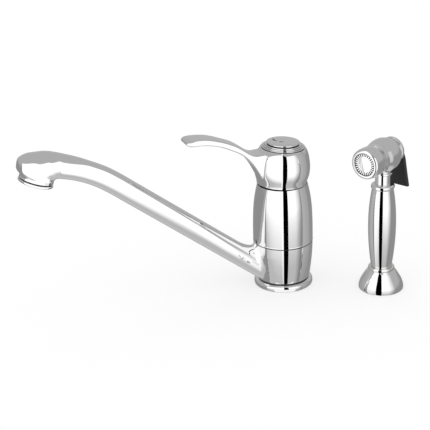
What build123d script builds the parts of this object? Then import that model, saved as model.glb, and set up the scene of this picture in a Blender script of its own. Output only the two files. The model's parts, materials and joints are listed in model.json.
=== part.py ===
from build123d import *
import os
from math import cos, radians, sin, sqrt

# Single-lever kitchen faucet with a side spray. Millimetres, +Z up.
# Origin: centre of the faucet's foot, on the top face of the deck.
# At rest the spout and the lever point along -X; the spray stands beside the faucet.
# Radii are written r_, heights above the deck z_, where one belongs to a named piece.

# Clearances
run_gap = 0.05          # radial running fit of a shaft, pin or sleeve
seat_gap = 0.1          # slip fit between pieces that stay put
free_gap = 0.3          # between moving pieces that never touch

# Foot and deck fastening
foot_r = 26.0
foot_side_h = 4.2
foot_h = 5.8
foot_top_r = 23.9
gasket_r_in = 18.6
gasket_r_out = 22.6
gasket_h = 1.6
deck_thickness = 20.0
shank_r = 16.0
shank_bore_r = 13.0
shank_length = 48.0
shank_engagement = 9.0
rubber_washer_h = 3.0
steel_washer_h = 1.6
washer_r = 27.5
nut_h = 9.0
nut_r = 20.5
nut_wing_r = 27.0
nut_wing_w = 8.0
nut_wings = 4
tail_r = 4.76
tail_wall = 0.9
tail_clear = 0.4        # between a tail and the shank's bore
tail_drop = 30.0        # free end below the shank
tail_socket = 6.0
tail_root_r = 5.0       # swaged part, inside the shank
nipple_r = 6.5
nipple_h = 14.0
nipple_drop = 54.0

# Spout hub and spout
glide_h = 1.3
hub_h = 33.7
hub_foot_r = 23.2
hub_neck_r = 23.8
hub_r = 26.3
hub_flare_h = 25.0
hub_swell = 0.25
core_r = 19.9
oring_r = 1.3
oring_inset = 4.0
glide_inset = 1.0
diverter_z = 26.5
diverter_r = 4.6
diverter_l = 16.5
spout_rise = 38.0       # slope of the straight run, degrees
spout_root_z = 0.8      # where its axis meets the hub's axis
spout_straight = 191.0  # along the axis, from the hub's axis
spout_bend_r = 120.0
spout_level = 13.0      # slope where the nose begins
spout_r = 9.45
spout_nose_r = 10.0
spout_wall = 2.2
spout_fillet = 5.0
nose_turn = 83.5        # from there down to the outlet's direction
nose_inner = 1.9        # inner side's distance from the nose's turning point
# The nose's sections: share of its turn, outer side's distance, half width
nose_fan = [(0.15, 23.7, 11.1), (0.4, 27.8, 12.7), (0.6, 33.1, 13.9), (0.78, 37.4, 14.4), (0.92, 34.9, 14.5)]
nose_outer = 30.7       # outer side's distance at the end of the turn
outlet_r = 13.9
outlet_tail = 2.2       # straight length ahead of the outlet face
aerator_r = 14.75
aerator_h = 2.3
aerator_gap = 0.9
aerator_thread_r = 11.9
aerator_thread_h = 6.0
aerator_mouth_r = 10.4
aerator_plate_h = 2.2
aerator_inset = 1.2
aerator_round = 0.9
aerator_washer_inset = 0.5
aerator_rows = 7
aerator_cell = 2.4
aerator_cell_pitch = 3.1

# Barrel
barrel_gap = 0.9
barrel_foot_r = 26.5
barrel_foot_h = 0.9
barrel_belly_r = 26.4
barrel_top_r = 22.0
seam = 0.9              # open line under the lever's dome
barrel_drop = [(0.18, 0.0), (0.42, 0.25), (0.66, 1.1), (0.85, 2.6)]   # share of height, radius lost
groove_floor_z = 88.3

# Lever: it turns about Z and lifts about the pivot, clear of two spheres round the pivot
pivot_z = 109.0
cavity_r = 22.4
bonnet_gap = 0.4
bonnet_wall = 1.2
bonnet_foot_z = 94.6
bonnet_top_z = 115.0
bonnet_flange_h = 2.0
dome_rim_z = 95.5
dome_rim_r = 21.9
dome_rim_bore_r = 20.7
dome_curve = [(22.3, 98.2), (23.0, 100.3), (23.75, 103.0), (24.3, 107.8), (24.1, 113.0), (23.1, 119.0), (21.6, 124.0)]
dome_top_z = 127.5
dome_top_r = 19.6
dome_roof = 5.0
boss_r = 7.5
boss_z = 115.2
# Cross-sections of the lever when it is shut, from the dome to the tip: lower edge
# (reach, height), upper edge (reach, height), lower width, upper width, corner radius
lever_sections = [
    ((13.4, 96.8), (14.9, 126.1), 21.0, 18.4, 2.4),
    ((22.2, 102.8), (22.4, 125.2), 19.8, 18.0, 2.3),
    ((27.7, 112.0), (27.9, 124.8), 18.8, 17.6, 2.1),
    ((34.7, 120.7), (33.0, 126.5), 17.2, 16.9, 1.9),
    ((45.0, 128.2), (42.5, 132.8), 15.9, 15.9, 1.9),
    ((55.3, 132.8), (53.3, 137.8), 15.9, 15.9, 1.9),
    ((66.4, 136.4), (65.1, 141.6), 16.8, 16.8, 1.9),
    ((76.1, 137.9), (75.7, 143.3), 18.2, 18.2, 1.9),
    ((83.4, 138.0), (83.9, 143.3), 19.1, 19.1, 1.9),
    ((88.1, 138.4), (88.8, 142.5), 18.4, 18.4, 1.6),
    ((90.5, 139.5), (90.8, 141.3), 15.0, 15.0, 0.7),
]
lever_root_round = 3.0
rest_lift = 3.0         # the lever stands open by this angle at rest, degrees

# Cartridge
neck_r = 14.4
cartridge_r = 12.5
cartridge_z = 85.0
cartridge_top_z = 104.0
neck_step = 4.0         # top of the core's neck below the cartridge's top
cartridge_wall = 1.9
cartridge_floor = 2.0
cartridge_lip = 2.0
seal_h = 1.0
port_r = 2.2
port_pitch_r = 6.0
fixed_disc_h = 3.5
moving_disc_h = 3.5
moving_disc_r = 7.5
moving_disc_rest = 2.5
turret_r = 9.9
turret_flange_h = 6.4
turret_top_z = 111.0
turret_slot_back = 7.5
turret_slot_front = 5.0
stem_side = 7.4
stem_shoulder_z = 103.6
stem_arm_r = 2.0
stem_tip_z = 94.3
pivot_pin_r = 1.5
pivot_pin_l = 17.0

# Cap on the lever
cap_steps = [(18.9, 1.25), (17.4, 1.25), (16.0, 1.25)]   # radius and height of each step
cap_round = 0.6
cap_bore_r = 12.0
cap_spigot_r = 13.4
cap_recess = 2.5
button_r = 14.4
button_h = 1.2
button_crown = 0.5
button_gap = 1.0
button_hollow_r = 5.2
button_hollow_h = 3.9
screw_head_r = 4.3
screw_head_h = 2.8
screw_r = 2.4
screw_l = 12.0

# Side spray: holder
spray_distance = 87.3
spray_bearing = -32.6   # degrees from +X, about Z
nozzle_bearing = 209.0
holder_r = 19.6
holder_side_h = 2.4
holder_curve = [(19.2, 4.6), (17.8, 8.2), (15.6, 12.1), (13.1, 16.0)]
holder_h = 18.2
holder_top_r = 11.3
holder_bore_r = 9.2
holder_shank_r = 13.5
holder_shank_length = 42.0
holder_nut_h = 8.0
holder_nut_r = 18.0
holder_gasket_in = 14.6
holder_gasket_out = 17.6
holder_ring_h = 2.5
holder_ring_r = 11.6

# Side spray: handle and neck
handle_foot_r = 8.9
handle_curve = [(11.0, 37.2), (12.05, 56.0), (11.6, 75.0)]
handle_top_z = 93.6
handle_top_r = 9.3
tail_thread_r = 6.6
tail_seat = 8.0
tail_spigot_h = 12.0
tail_thread_h = 11.0
tail_bore_r = 3.6
collar_h = 4.4
collar_r = 10.3
spray_neck_r = 6.7
spray_neck_seat = 8.0
neck_ring_z = 106.9
neck_ring_h = 2.0
neck_ring_r = 8.1
neck_ring_round = 0.8

# Side spray: head, nozzle and trigger. Along the head's level axis, lengths are
# counted from the handle's axis, forward to the nozzle or back to the trigger.
head_z = 124.6
head_front = 9.8
head_front_r = 12.9
head_curve = [(-8.0, 13.4), (-3.5, 15.2), (1.5, 15.5), (6.0, 14.7)]
head_back = 11.6
head_back_r = 10.4
head_boss_r = 7.7
band_r = 13.3
band_l = 7.2
band_plain_l = 3.2
band_groove_r = 12.2
band_grooves = 3
nozzle_r = 13.1
nozzle_l = 12.4
nozzle_rim_r = 11.6
nozzle_mouth_r = 10.3
plate_r = 9.6
plate_inset = 1.4
plate_h = 1.8
spray_slots = 28
spray_slot_ring_r = 8.1
spray_slot_l = 1.5
spray_slot_w = 0.8
rear_cap_r = 10.6
rear_cap_l = 3.2
rear_cap_crown = 1.6
trigger_curve = [(17.2, 131.5), (17.9, 118.0), (19.1, 105.0), (21.1, 89.0)]   # inner face: back, height
trigger_t = 3.0
trigger_w = 22.0
trigger_foot_w = 24.5
trigger_round = 9.5
trigger_pivot_z = 131.0
trigger_pivot_back = 13.6
trigger_pin_r = 1.0
trigger_pin_l = 14.0
tongue_w = 5.0
tongue_h = 3.4
tongue_play = 3.2
plunger_r = 1.8
plunger_stroke = 1.2
plunger_seat = 3.5

os.makedirs("parts", exist_ok=True)

# Places that follow from the sizes above
hub_z = foot_h + glide_h + run_gap
hub_top_z = hub_z + hub_h
barrel_z = hub_top_z + barrel_gap
hub_bore_r = core_r + run_gap
core_socket_z = foot_h + shank_engagement
tail_pitch_r = shank_bore_r - tail_root_r - tail_clear
sleeve_r = core_r + seat_gap
thread_bore_r = shank_r + seat_gap
washer_z = -deck_thickness - rubber_washer_h
steel_z = washer_z - steel_washer_h
nut_z = steel_z - nut_h
bonnet_r = cavity_r - bonnet_gap
barrel_top_z = dome_rim_z - seam
neck_top_z = cartridge_top_z - neck_step
cartridge_bore_r = cartridge_r - cartridge_wall
housing_z = cartridge_z + seal_h
fixed_disc_z = housing_z + cartridge_floor
moving_disc_z = fixed_disc_z + fixed_disc_h + run_gap
turret_z = moving_disc_z + moving_disc_h + free_gap
roof_z = dome_top_z - dome_roof
recess_z = dome_top_z - cap_recess
cap_top_z = dome_top_z + sum(h for r, h in cap_steps)
button_z = cap_top_z + button_gap
handle_z = holder_h + holder_ring_h + run_gap
spray_neck_z = handle_top_z - spray_neck_seat
plunger_z = trigger_curve[1][1]
head_boss_z = neck_ring_z + neck_ring_h
spray_neck_top_z = head_boss_z + spray_neck_seat / 2
band_start = head_front
nozzle_start = band_start + band_l
nozzle_front = nozzle_start + nozzle_l

up = Vector(0, 0, 1)
spray_foot = Vector(spray_distance * cos(radians(spray_bearing)), spray_distance * sin(radians(spray_bearing)), 0)
front = Vector(cos(radians(nozzle_bearing)), sin(radians(nozzle_bearing)), 0)
spray_side = Plane(origin=spray_foot, x_dir=front, z_dir=front.cross(up))
spray_axis = Axis(spray_foot, up)
head_centre = spray_foot + up * head_z
head_side = Plane(origin=head_centre, x_dir=front, z_dir=front.cross(up))
head_axis = Axis(head_centre, front)
lift_axis = Axis((0, 0, pivot_z), (0, 1, 0))


def on_sphere(radius, z):
    """Radius, at height z, of a sphere round the lever's pivot."""
    return sqrt(radius**2 - (z - pivot_z) ** 2)


def crown_middle(radius, crown):
    """Drop, halfway out, of a shallow crown that is part of a sphere."""
    ball = (radius**2 + crown**2) / (2 * crown)
    return ball - sqrt(ball**2 - radius**2 / 4)


def save(piece, name):
    piece.part.label = name
    export_step(piece.part, f"parts/{name}.step")


def save_lifted(piece, name):
    """Saves a piece that is made in the lever's shut pose and stands open at rest."""
    lifted = piece.part.rotate(lift_axis, rest_lift)
    lifted.label = name
    export_step(lifted, f"parts/{name}.step")


# Foot: the base ring on the deck, with its gasket let into the underside
with BuildPart() as base_ring:
    with BuildSketch(Plane.XZ):
        with BuildLine():
            Polyline(
                (thread_bore_r, 0),
                (foot_r, 0),
                (foot_r, foot_side_h),
                (foot_top_r, foot_h),
                (thread_bore_r, foot_h),
                close=True,
            )
        make_face()
    revolve(axis=Axis.Z)
    rim = base_ring.edges().filter_by(GeomType.CIRCLE).filter_by(lambda e: e.radius > foot_top_r + run_gap)
    fillet(rim.sort_by(Axis.Z)[-1], (foot_h - foot_side_h) / 2)
    with BuildSketch(Plane.XY):
        Circle(gasket_r_out + seat_gap)
        Circle(gasket_r_in - seat_gap, mode=Mode.SUBTRACT)
    extrude(amount=gasket_h, mode=Mode.SUBTRACT)
save(base_ring, "base_ring")

with BuildPart() as base_gasket:
    with BuildSketch(Plane.XY):
        Circle(gasket_r_out)
        Circle(gasket_r_in, mode=Mode.SUBTRACT)
    extrude(amount=gasket_h)
save(base_gasket, "base_gasket")

# Under the deck: the threaded shank, two washers and the winged lock nut
with BuildPart() as deck_shank:
    with BuildSketch(Plane.XY.offset(-shank_length)):
        Circle(shank_r)
        Circle(shank_bore_r, mode=Mode.SUBTRACT)
    extrude(amount=shank_length + core_socket_z)
save(deck_shank, "deck_shank")

with BuildPart() as rubber_washer:
    with BuildSketch(Plane.XY.offset(washer_z)):
        Circle(washer_r)
        Circle(thread_bore_r, mode=Mode.SUBTRACT)
    extrude(amount=rubber_washer_h)
save(rubber_washer, "rubber_washer")

with BuildPart() as steel_washer:
    with BuildSketch(Plane.XY.offset(steel_z)):
        Circle(washer_r)
        Circle(thread_bore_r, mode=Mode.SUBTRACT)
    extrude(amount=steel_washer_h)
save(steel_washer, "steel_washer")

with BuildPart() as lock_nut:
    with BuildSketch(Plane.XY.offset(nut_z)):
        Circle(nut_r)
        with PolarLocations(nut_wing_r / 2, nut_wings):
            Rectangle(nut_wing_r, nut_wing_w)
        Circle(thread_bore_r, mode=Mode.SUBTRACT)
    extrude(amount=nut_h)
save(lock_nut, "lock_nut")

# Supply tails and the nipple for the spray's hose, in sockets in the core's underside
tail_top_z = core_socket_z + tail_socket
tails = [
    ("spray_hose_nipple", 90, nipple_drop, nipple_h, nipple_r),
    ("supply_tail_hot", 210, tail_drop, tail_drop, tail_r),
    ("supply_tail_cold", 330, tail_drop, tail_drop, tail_r),
]
for name, angle, drop, end_h, end_r in tails:
    with BuildPart() as tail:
        foot_z = -shank_length - drop
        with BuildSketch(Plane.XY.offset(foot_z)):
            with PolarLocations(tail_pitch_r, 1, start_angle=angle):
                Circle(end_r)
        extrude(amount=end_h)
        with BuildSketch(Plane.XY.offset(foot_z + end_h)):
            with PolarLocations(tail_pitch_r, 1, start_angle=angle):
                Circle(tail_root_r)
        extrude(amount=tail_top_z - foot_z - end_h)
        with BuildSketch(Plane.XY.offset(foot_z)):
            with PolarLocations(tail_pitch_r, 1, start_angle=angle):
                Circle(tail_r - tail_wall)
        extrude(amount=tail_top_z - foot_z, mode=Mode.SUBTRACT)
    save(tail, name)

# Core: the brass body that everything is built on
with BuildPart() as mixer_core:
    with BuildSketch(Plane.XZ):
        with BuildLine():
            Polyline(
                (0, core_socket_z),
                (thread_bore_r, core_socket_z),
                (thread_bore_r, foot_h),
                (core_r, foot_h),
                (core_r, groove_floor_z),
                (neck_r, groove_floor_z),
                (neck_r, neck_top_z),
                (cartridge_r + seat_gap, neck_top_z),
                (cartridge_r + seat_gap, cartridge_z),
                (0, cartridge_z),
                close=True,
            )
        make_face()
    revolve(axis=Axis.Z)
    for groove_z in (hub_z + oring_inset, hub_top_z - oring_inset):
        with BuildSketch(Plane.XZ):
            with Locations((core_r - oring_r, groove_z)):
                Rectangle(2 * oring_r, 2 * (oring_r + seat_gap))
        revolve(axis=Axis.Z, mode=Mode.SUBTRACT)
    with PolarLocations(tail_pitch_r, len(tails), start_angle=90):
        with Locations((0, 0, core_socket_z)):
            Cylinder(tail_root_r + seat_gap, tail_socket, align=(Align.CENTER, Align.CENTER, Align.MIN), mode=Mode.SUBTRACT)
    with PolarLocations(port_pitch_r, len(tails), start_angle=90):
        with Locations((0, 0, tail_top_z)):
            Cylinder(port_r, cartridge_z - tail_top_z, align=(Align.CENTER, Align.CENTER, Align.MIN), mode=Mode.SUBTRACT)
    with BuildSketch(Plane(origin=(0, port_pitch_r, diverter_z), x_dir=(0, 1, 0), z_dir=(-1, 0, 0))):
        Circle(diverter_r + seat_gap)
    extrude(amount=core_r, mode=Mode.SUBTRACT)
save(mixer_core, "mixer_core")

for name, groove_z in (("spout_oring_lower", hub_z + oring_inset), ("spout_oring_upper", hub_top_z - oring_inset)):
    with BuildPart() as oring:
        with BuildSketch(Plane.XZ):
            with Locations((core_r - oring_r, groove_z)):
                Circle(oring_r)
        revolve(axis=Axis.Z)
    save(oring, name)

# Diverter: sends the water to the spray when its trigger opens
with BuildPart() as diverter_valve:
    with BuildSketch(Plane(origin=(0, port_pitch_r, diverter_z), x_dir=(0, 1, 0), z_dir=(-1, 0, 0))):
        Circle(diverter_r)
    extrude(amount=diverter_l)
    with BuildSketch(Plane(origin=(-diverter_l, port_pitch_r, diverter_z), x_dir=(0, 1, 0), z_dir=(-1, 0, 0))):
        Circle(diverter_r / 2)
    extrude(amount=-diverter_l / 2, mode=Mode.SUBTRACT)
save(diverter_valve, "diverter_valve")

# Slip rings that the spout's hub turns between
with BuildPart() as glide_ring_lower:
    with BuildSketch(Plane.XY.offset(foot_h)):
        Circle(hub_foot_r - free_gap)
        Circle(sleeve_r, mode=Mode.SUBTRACT)
    extrude(amount=glide_h)
save(glide_ring_lower, "glide_ring_lower")

with BuildPart() as glide_ring_upper:
    with BuildSketch(Plane.XY.offset(hub_top_z + run_gap)):
        Circle(hub_r - glide_inset)
        Circle(sleeve_r, mode=Mode.SUBTRACT)
    extrude(amount=barrel_gap - run_gap)
save(glide_ring_upper, "glide_ring_upper")

# Spout: hub, rising tube with a long bend, and a full nose turned down to the outlet
def across(reach, height, slope):
    """Plane square to the spout at a point of its centreline; its x is the outer side."""
    a = radians(slope)
    return Plane(origin=(-reach, 0, height), x_dir=(sin(a), 0, cos(a)), z_dir=(-cos(a), 0, sin(a)))


rise = radians(spout_rise)
level = radians(spout_level)
bend_reach = spout_straight * cos(rise)
bend_height = spout_root_z + spout_straight * sin(rise)
nose_reach = bend_reach + spout_bend_r * (sin(rise) - sin(level))
nose_height = bend_height + spout_bend_r * (cos(level) - cos(rise))
turn_reach = nose_reach + (spout_nose_r + nose_inner) * sin(level)
turn_height = nose_height - (spout_nose_r + nose_inner) * cos(level)


def fan_plane(share, outer):
    """Plane of a section that fans round the nose's turning point."""
    slope = spout_level - nose_turn * share
    a = radians(slope)
    middle = (outer + nose_inner) / 2
    return across(turn_reach - middle * sin(a), turn_height + middle * cos(a), slope)


def oval(plane, half, half_width):
    """Cross-section made of quarter arcs, so that the seams of a loft run straight."""
    with BuildSketch(plane) as section:
        with BuildLine():
            for quarter in range(4):
                EllipticalCenterArc((0, 0), half, half_width, start_angle=90 * quarter, arc_size=90)
        make_face()
    return section.sketch


bend_start = across(bend_reach, bend_height, spout_rise)
bend_end = across(nose_reach, nose_height, spout_level)
outlet = fan_plane(1, nose_outer).offset(outlet_tail)
nose_sections = [(bend_end, spout_nose_r, spout_nose_r)]
for share, outer, half_width in nose_fan:
    nose_sections.append((fan_plane(share, outer), (outer - nose_inner) / 2, half_width))
nose_sections.append((outlet, outlet_r, outlet_r))

# The hub is made too deep and too high and is trimmed, so that the blend round the tube runs off both ends
skirt = 2.5 * spout_fillet
skirt_r = hub_foot_r - (hub_r - hub_foot_r) * skirt / hub_flare_h
root_l = (hub_foot_r - spout_r) * cos(rise)
tube_start = across(0, spout_root_z, spout_rise).offset(root_l)

with BuildPart() as spout:
    with BuildSketch(Plane.XZ):
        with BuildLine():
            Polyline((0, hub_top_z + skirt), (0, hub_z - skirt), (skirt_r, hub_z - skirt))
            ThreePointArc(
                (skirt_r, hub_z - skirt),
                ((skirt_r + hub_r) / 2 + hub_swell, hub_z + (hub_flare_h - skirt) / 2),
                (hub_r, hub_z + hub_flare_h),
            )
            Line((hub_r, hub_z + hub_flare_h), (hub_r, hub_top_z + skirt))
            Line((hub_r, hub_top_z + skirt), (0, hub_top_z + skirt))
        make_face()
    revolve(axis=Axis.Z)
    with BuildSketch(tube_start):
        Circle(spout_r)
    extrude(amount=spout_straight - root_l)
    junction = spout.edges().filter_by(GeomType.CIRCLE, reverse=True).filter_by(GeomType.LINE, reverse=True)
    junction = junction.filter_by(lambda e: hub_foot_r - spout_r < abs(e.center().X) < 2 * hub_r)
    fillet(junction, spout_fillet)
    with BuildSketch(Plane.XY.offset(hub_z)):
        Circle(2 * hub_r)
    extrude(amount=-2 * skirt, mode=Mode.SUBTRACT)
    with BuildSketch(Plane.XY.offset(hub_top_z)):
        Circle(hub_r + spout_fillet)
    extrude(amount=2 * skirt, mode=Mode.SUBTRACT)
    with BuildLine(Plane.XZ):
        bend = JernArc((-bend_reach, bend_height), (-cos(rise), sin(rise)), spout_bend_r, spout_rise - spout_level)
    with BuildSketch(bend_start):
        Circle(spout_r)
    with BuildSketch(bend_end):
        Circle(spout_nose_r)
    sweep(path=bend, multisection=True)
    loft([oval(plane, half, half_width) for plane, half, half_width in nose_sections])
    with BuildSketch(tube_start):
        Circle(spout_r - spout_wall)
    extrude(amount=spout_straight - root_l, mode=Mode.SUBTRACT)
    with BuildSketch(bend_start):
        Circle(spout_r - spout_wall)
    with BuildSketch(bend_end):
        Circle(spout_nose_r - spout_wall)
    sweep(path=bend, multisection=True, mode=Mode.SUBTRACT)
    bore_sections = [(plane, half - spout_wall, width - spout_wall) for plane, half, width in nose_sections]
    loft([oval(*section) for section in bore_sections], mode=Mode.SUBTRACT)
    with BuildSketch(outlet):
        Circle(aerator_thread_r + seat_gap)
    extrude(amount=-aerator_thread_h - seat_gap, mode=Mode.SUBTRACT)
    with BuildSketch(Plane.XY.offset(hub_z)):
        Circle(hub_bore_r)
    extrude(amount=hub_h, mode=Mode.SUBTRACT)
save(spout, "spout")

# Aerator at the outlet: collar with its thread, washer and a honeycomb plate
outlet_side = Plane(origin=outlet.origin, x_dir=outlet.x_dir, z_dir=outlet.x_dir.cross(outlet.z_dir))
outlet_axis = Axis(outlet.origin, outlet.z_dir)
with BuildPart() as aerator_collar:
    with BuildSketch(outlet.offset(aerator_gap)):
        Circle(aerator_r)
    extrude(amount=aerator_h)
    fillet(aerator_collar.edges().filter_by(GeomType.CIRCLE), aerator_round)
    with BuildSketch(outlet.offset(aerator_gap)):
        Circle(aerator_thread_r)
    extrude(amount=-aerator_thread_h)
    with BuildSketch(outlet.offset(aerator_gap + aerator_h)):
        Circle(aerator_mouth_r)
    extrude(amount=-aerator_h - aerator_thread_h, mode=Mode.SUBTRACT)
save(aerator_collar, "aerator_collar")

with BuildPart() as aerator_washer:
    with BuildSketch(outlet.offset(aerator_gap)):
        Circle(outlet_r - aerator_washer_inset)
        Circle(aerator_thread_r + seat_gap, mode=Mode.SUBTRACT)
    extrude(amount=-aerator_gap)
save(aerator_washer, "aerator_washer")

with BuildPart() as aerator_plate:
    with BuildSketch(outlet.offset(aerator_gap + aerator_h - aerator_inset)):
        Circle(aerator_mouth_r - seat_gap)
        with HexLocations(aerator_cell_pitch / 2, aerator_rows, aerator_rows, major_radius=False):
            RegularPolygon(aerator_cell / 2, 6, major_radius=False, mode=Mode.SUBTRACT)
    extrude(amount=-aerator_plate_h)
save(aerator_plate, "aerator_plate")

# Barrel: the fixed shell over the core
barrel_h = barrel_top_z - barrel_z
barrel_points = [(barrel_belly_r - drop, barrel_z + barrel_h * share) for share, drop in barrel_drop]
rim_reach = sqrt(dome_rim_r**2 + (pivot_z - dome_rim_z) ** 2)
barrel_lip_r = on_sphere(rim_reach + free_gap, barrel_top_z)
with BuildPart() as barrel_shell:
    with BuildSketch(Plane.XZ):
        with BuildLine():
            Polyline(
                (barrel_belly_r, barrel_z + barrel_foot_h),
                (barrel_foot_r, barrel_z + barrel_foot_h / 2),
                (barrel_foot_r, barrel_z),
                (sleeve_r, barrel_z),
                (sleeve_r, groove_floor_z),
                (barrel_lip_r, groove_floor_z),
                (barrel_lip_r, barrel_top_z),
                (barrel_top_r, barrel_top_z),
            )
            Spline((barrel_belly_r, barrel_z + barrel_foot_h), *barrel_points, (barrel_top_r, barrel_top_z))
        make_face()
    revolve(axis=Axis.Z)
save(barrel_shell, "barrel_shell")

# Cartridge: seal, housing and fixed disc stay put
with BuildPart() as cartridge_seal:
    with BuildSketch(Plane.XY.offset(cartridge_z)):
        Circle(cartridge_r - cartridge_wall / 2)
        with PolarLocations(port_pitch_r, len(tails), start_angle=90):
            Circle(port_r, mode=Mode.SUBTRACT)
    extrude(amount=seal_h)
save(cartridge_seal, "cartridge_seal")

with BuildPart() as cartridge_housing:
    with BuildSketch(Plane.XY.offset(housing_z)):
        Circle(cartridge_r)
    extrude(amount=cartridge_top_z - housing_z)
    with BuildSketch(Plane.XY.offset(fixed_disc_z)):
        Circle(cartridge_bore_r)
    extrude(amount=cartridge_top_z - cartridge_lip - fixed_disc_z, mode=Mode.SUBTRACT)
    with BuildSketch(Plane.XY.offset(cartridge_top_z)):
        Circle(turret_r + run_gap)
    extrude(amount=-cartridge_lip, mode=Mode.SUBTRACT)
    with BuildSketch(Plane.XY.offset(housing_z)):
        with PolarLocations(port_pitch_r, len(tails), start_angle=90):
            Circle(port_r)
    extrude(amount=cartridge_floor, mode=Mode.SUBTRACT)
save(cartridge_housing, "cartridge_housing")

with BuildPart() as fixed_disc:
    with BuildSketch(Plane.XY.offset(fixed_disc_z)):
        Circle(cartridge_bore_r - seat_gap)
        with PolarLocations(port_pitch_r, len(tails), start_angle=90):
            Circle(port_r, mode=Mode.SUBTRACT)
    extrude(amount=fixed_disc_h)
save(fixed_disc, "fixed_disc")

# The moving disc slides when the lever lifts and turns with it
rest_slide = (stem_tip_z - pivot_z) * sin(radians(rest_lift))
pocket_h = moving_disc_z + moving_disc_h - stem_tip_z + stem_arm_r + free_gap / 2
with BuildPart() as moving_disc:
    with BuildSketch(Plane.XY.offset(moving_disc_z)):
        with Locations((moving_disc_rest + rest_slide, 0)):
            Circle(moving_disc_r)
    extrude(amount=moving_disc_h)
    with BuildSketch(Plane.XY.offset(moving_disc_z + moving_disc_h)):
        with Locations((rest_slide, 0)):
            Rectangle(2 * (stem_arm_r + seat_gap), 2 * (stem_arm_r + seat_gap))
    extrude(amount=-pocket_h, mode=Mode.SUBTRACT)
save(moving_disc, "moving_disc")

with BuildPart() as turret:
    with BuildSketch(Plane.XY.offset(turret_z)):
        Circle(cartridge_bore_r - run_gap)
    extrude(amount=turret_flange_h)
    with BuildSketch(Plane.XY.offset(turret_z)):
        Circle(turret_r)
    extrude(amount=turret_top_z - turret_z)
    with BuildSketch(Plane.XY.offset(turret_z)):
        with Locations(((turret_slot_front - turret_slot_back) / 2, 0)):
            Rectangle(turret_slot_front + turret_slot_back, stem_side + 2 * seat_gap)
    extrude(amount=turret_top_z - turret_z, mode=Mode.SUBTRACT)
    with BuildSketch(Plane.XZ):
        with Locations((0, pivot_z)):
            Circle(pivot_pin_r + run_gap)
    extrude(amount=turret_r, both=True, mode=Mode.SUBTRACT)
save(turret, "turret")

with BuildPart() as pivot_pin:
    with BuildSketch(Plane.XZ):
        with Locations((0, pivot_z)):
            Circle(pivot_pin_r)
    extrude(amount=pivot_pin_l / 2, both=True)
save(pivot_pin, "pivot_pin")

# Bonnet: a spherical cap that holds the cartridge down and stays in sight when the lever lifts
bonnet_inner_r = bonnet_r - bonnet_wall
flange_top_z = cartridge_top_z + run_gap + bonnet_flange_h
with BuildPart() as bonnet:
    with BuildSketch(Plane.XZ):
        with BuildLine():
            ThreePointArc(
                (on_sphere(bonnet_r, bonnet_foot_z), bonnet_foot_z),
                (bonnet_r, pivot_z),
                (on_sphere(bonnet_r, bonnet_top_z), bonnet_top_z),
            )
            Line((on_sphere(bonnet_r, bonnet_top_z), bonnet_top_z), (on_sphere(bonnet_inner_r, bonnet_top_z), bonnet_top_z))
            ThreePointArc(
                (on_sphere(bonnet_inner_r, bonnet_top_z), bonnet_top_z),
                (bonnet_inner_r, pivot_z),
                (on_sphere(bonnet_inner_r, flange_top_z), flange_top_z),
            )
            Polyline(
                (on_sphere(bonnet_inner_r, flange_top_z), flange_top_z),
                (turret_r + free_gap, flange_top_z),
                (turret_r + free_gap, cartridge_top_z + run_gap),
                (cartridge_r + seat_gap, cartridge_top_z + run_gap),
                (cartridge_r + seat_gap, neck_top_z + seat_gap),
                (neck_r + seat_gap, neck_top_z + seat_gap),
                (neck_r + seat_gap, bonnet_foot_z),
                (on_sphere(bonnet_r, bonnet_foot_z), bonnet_foot_z),
            )
        make_face()
    revolve(axis=Axis.Z)
save(bonnet, "bonnet")

# Stem: from the disc's pocket, through the pin, up into the lever's boss
stem_top_z = roof_z - seat_gap
with BuildPart() as cartridge_stem:
    with BuildSketch(Plane.XY.offset(stem_shoulder_z)):
        Rectangle(stem_side, stem_side)
    extrude(amount=stem_top_z - stem_shoulder_z)
    with BuildSketch(Plane.XY.offset(stem_tip_z)):
        Circle(stem_arm_r)
    extrude(amount=stem_shoulder_z - stem_tip_z)
    with Locations((0, 0, stem_tip_z)):
        Sphere(stem_arm_r)
    with BuildSketch(Plane.XZ):
        with Locations((0, pivot_z)):
            Circle(pivot_pin_r + run_gap)
    extrude(amount=stem_side, both=True, mode=Mode.SUBTRACT)
    with BuildSketch(Plane.XY.offset(stem_top_z)):
        Circle(screw_r + seat_gap)
    extrude(amount=-screw_l, mode=Mode.SUBTRACT)
save_lifted(cartridge_stem, "cartridge_stem")

# Lever and dome, one casting
def lever_section(low, high, low_width, high_width, corner):
    """Cross-section of the lever, square to its own line."""
    lean = Vector(low[0] - high[0], 0, high[1] - low[1])
    middle = (-(low[0] + high[0]) / 2, 0, (low[1] + high[1]) / 2)
    half = lean.length / 2
    corners = [(-half, -low_width / 2), (half, -high_width / 2), (half, high_width / 2), (-half, low_width / 2)]
    with BuildSketch(Plane(origin=middle, x_dir=lean, z_dir=lean.cross(Vector(0, -1, 0)))) as section:
        with BuildLine():
            Polyline(*corners, close=True)
        make_face()
        fillet(section.vertices(), corner)
    return section.sketch


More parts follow.
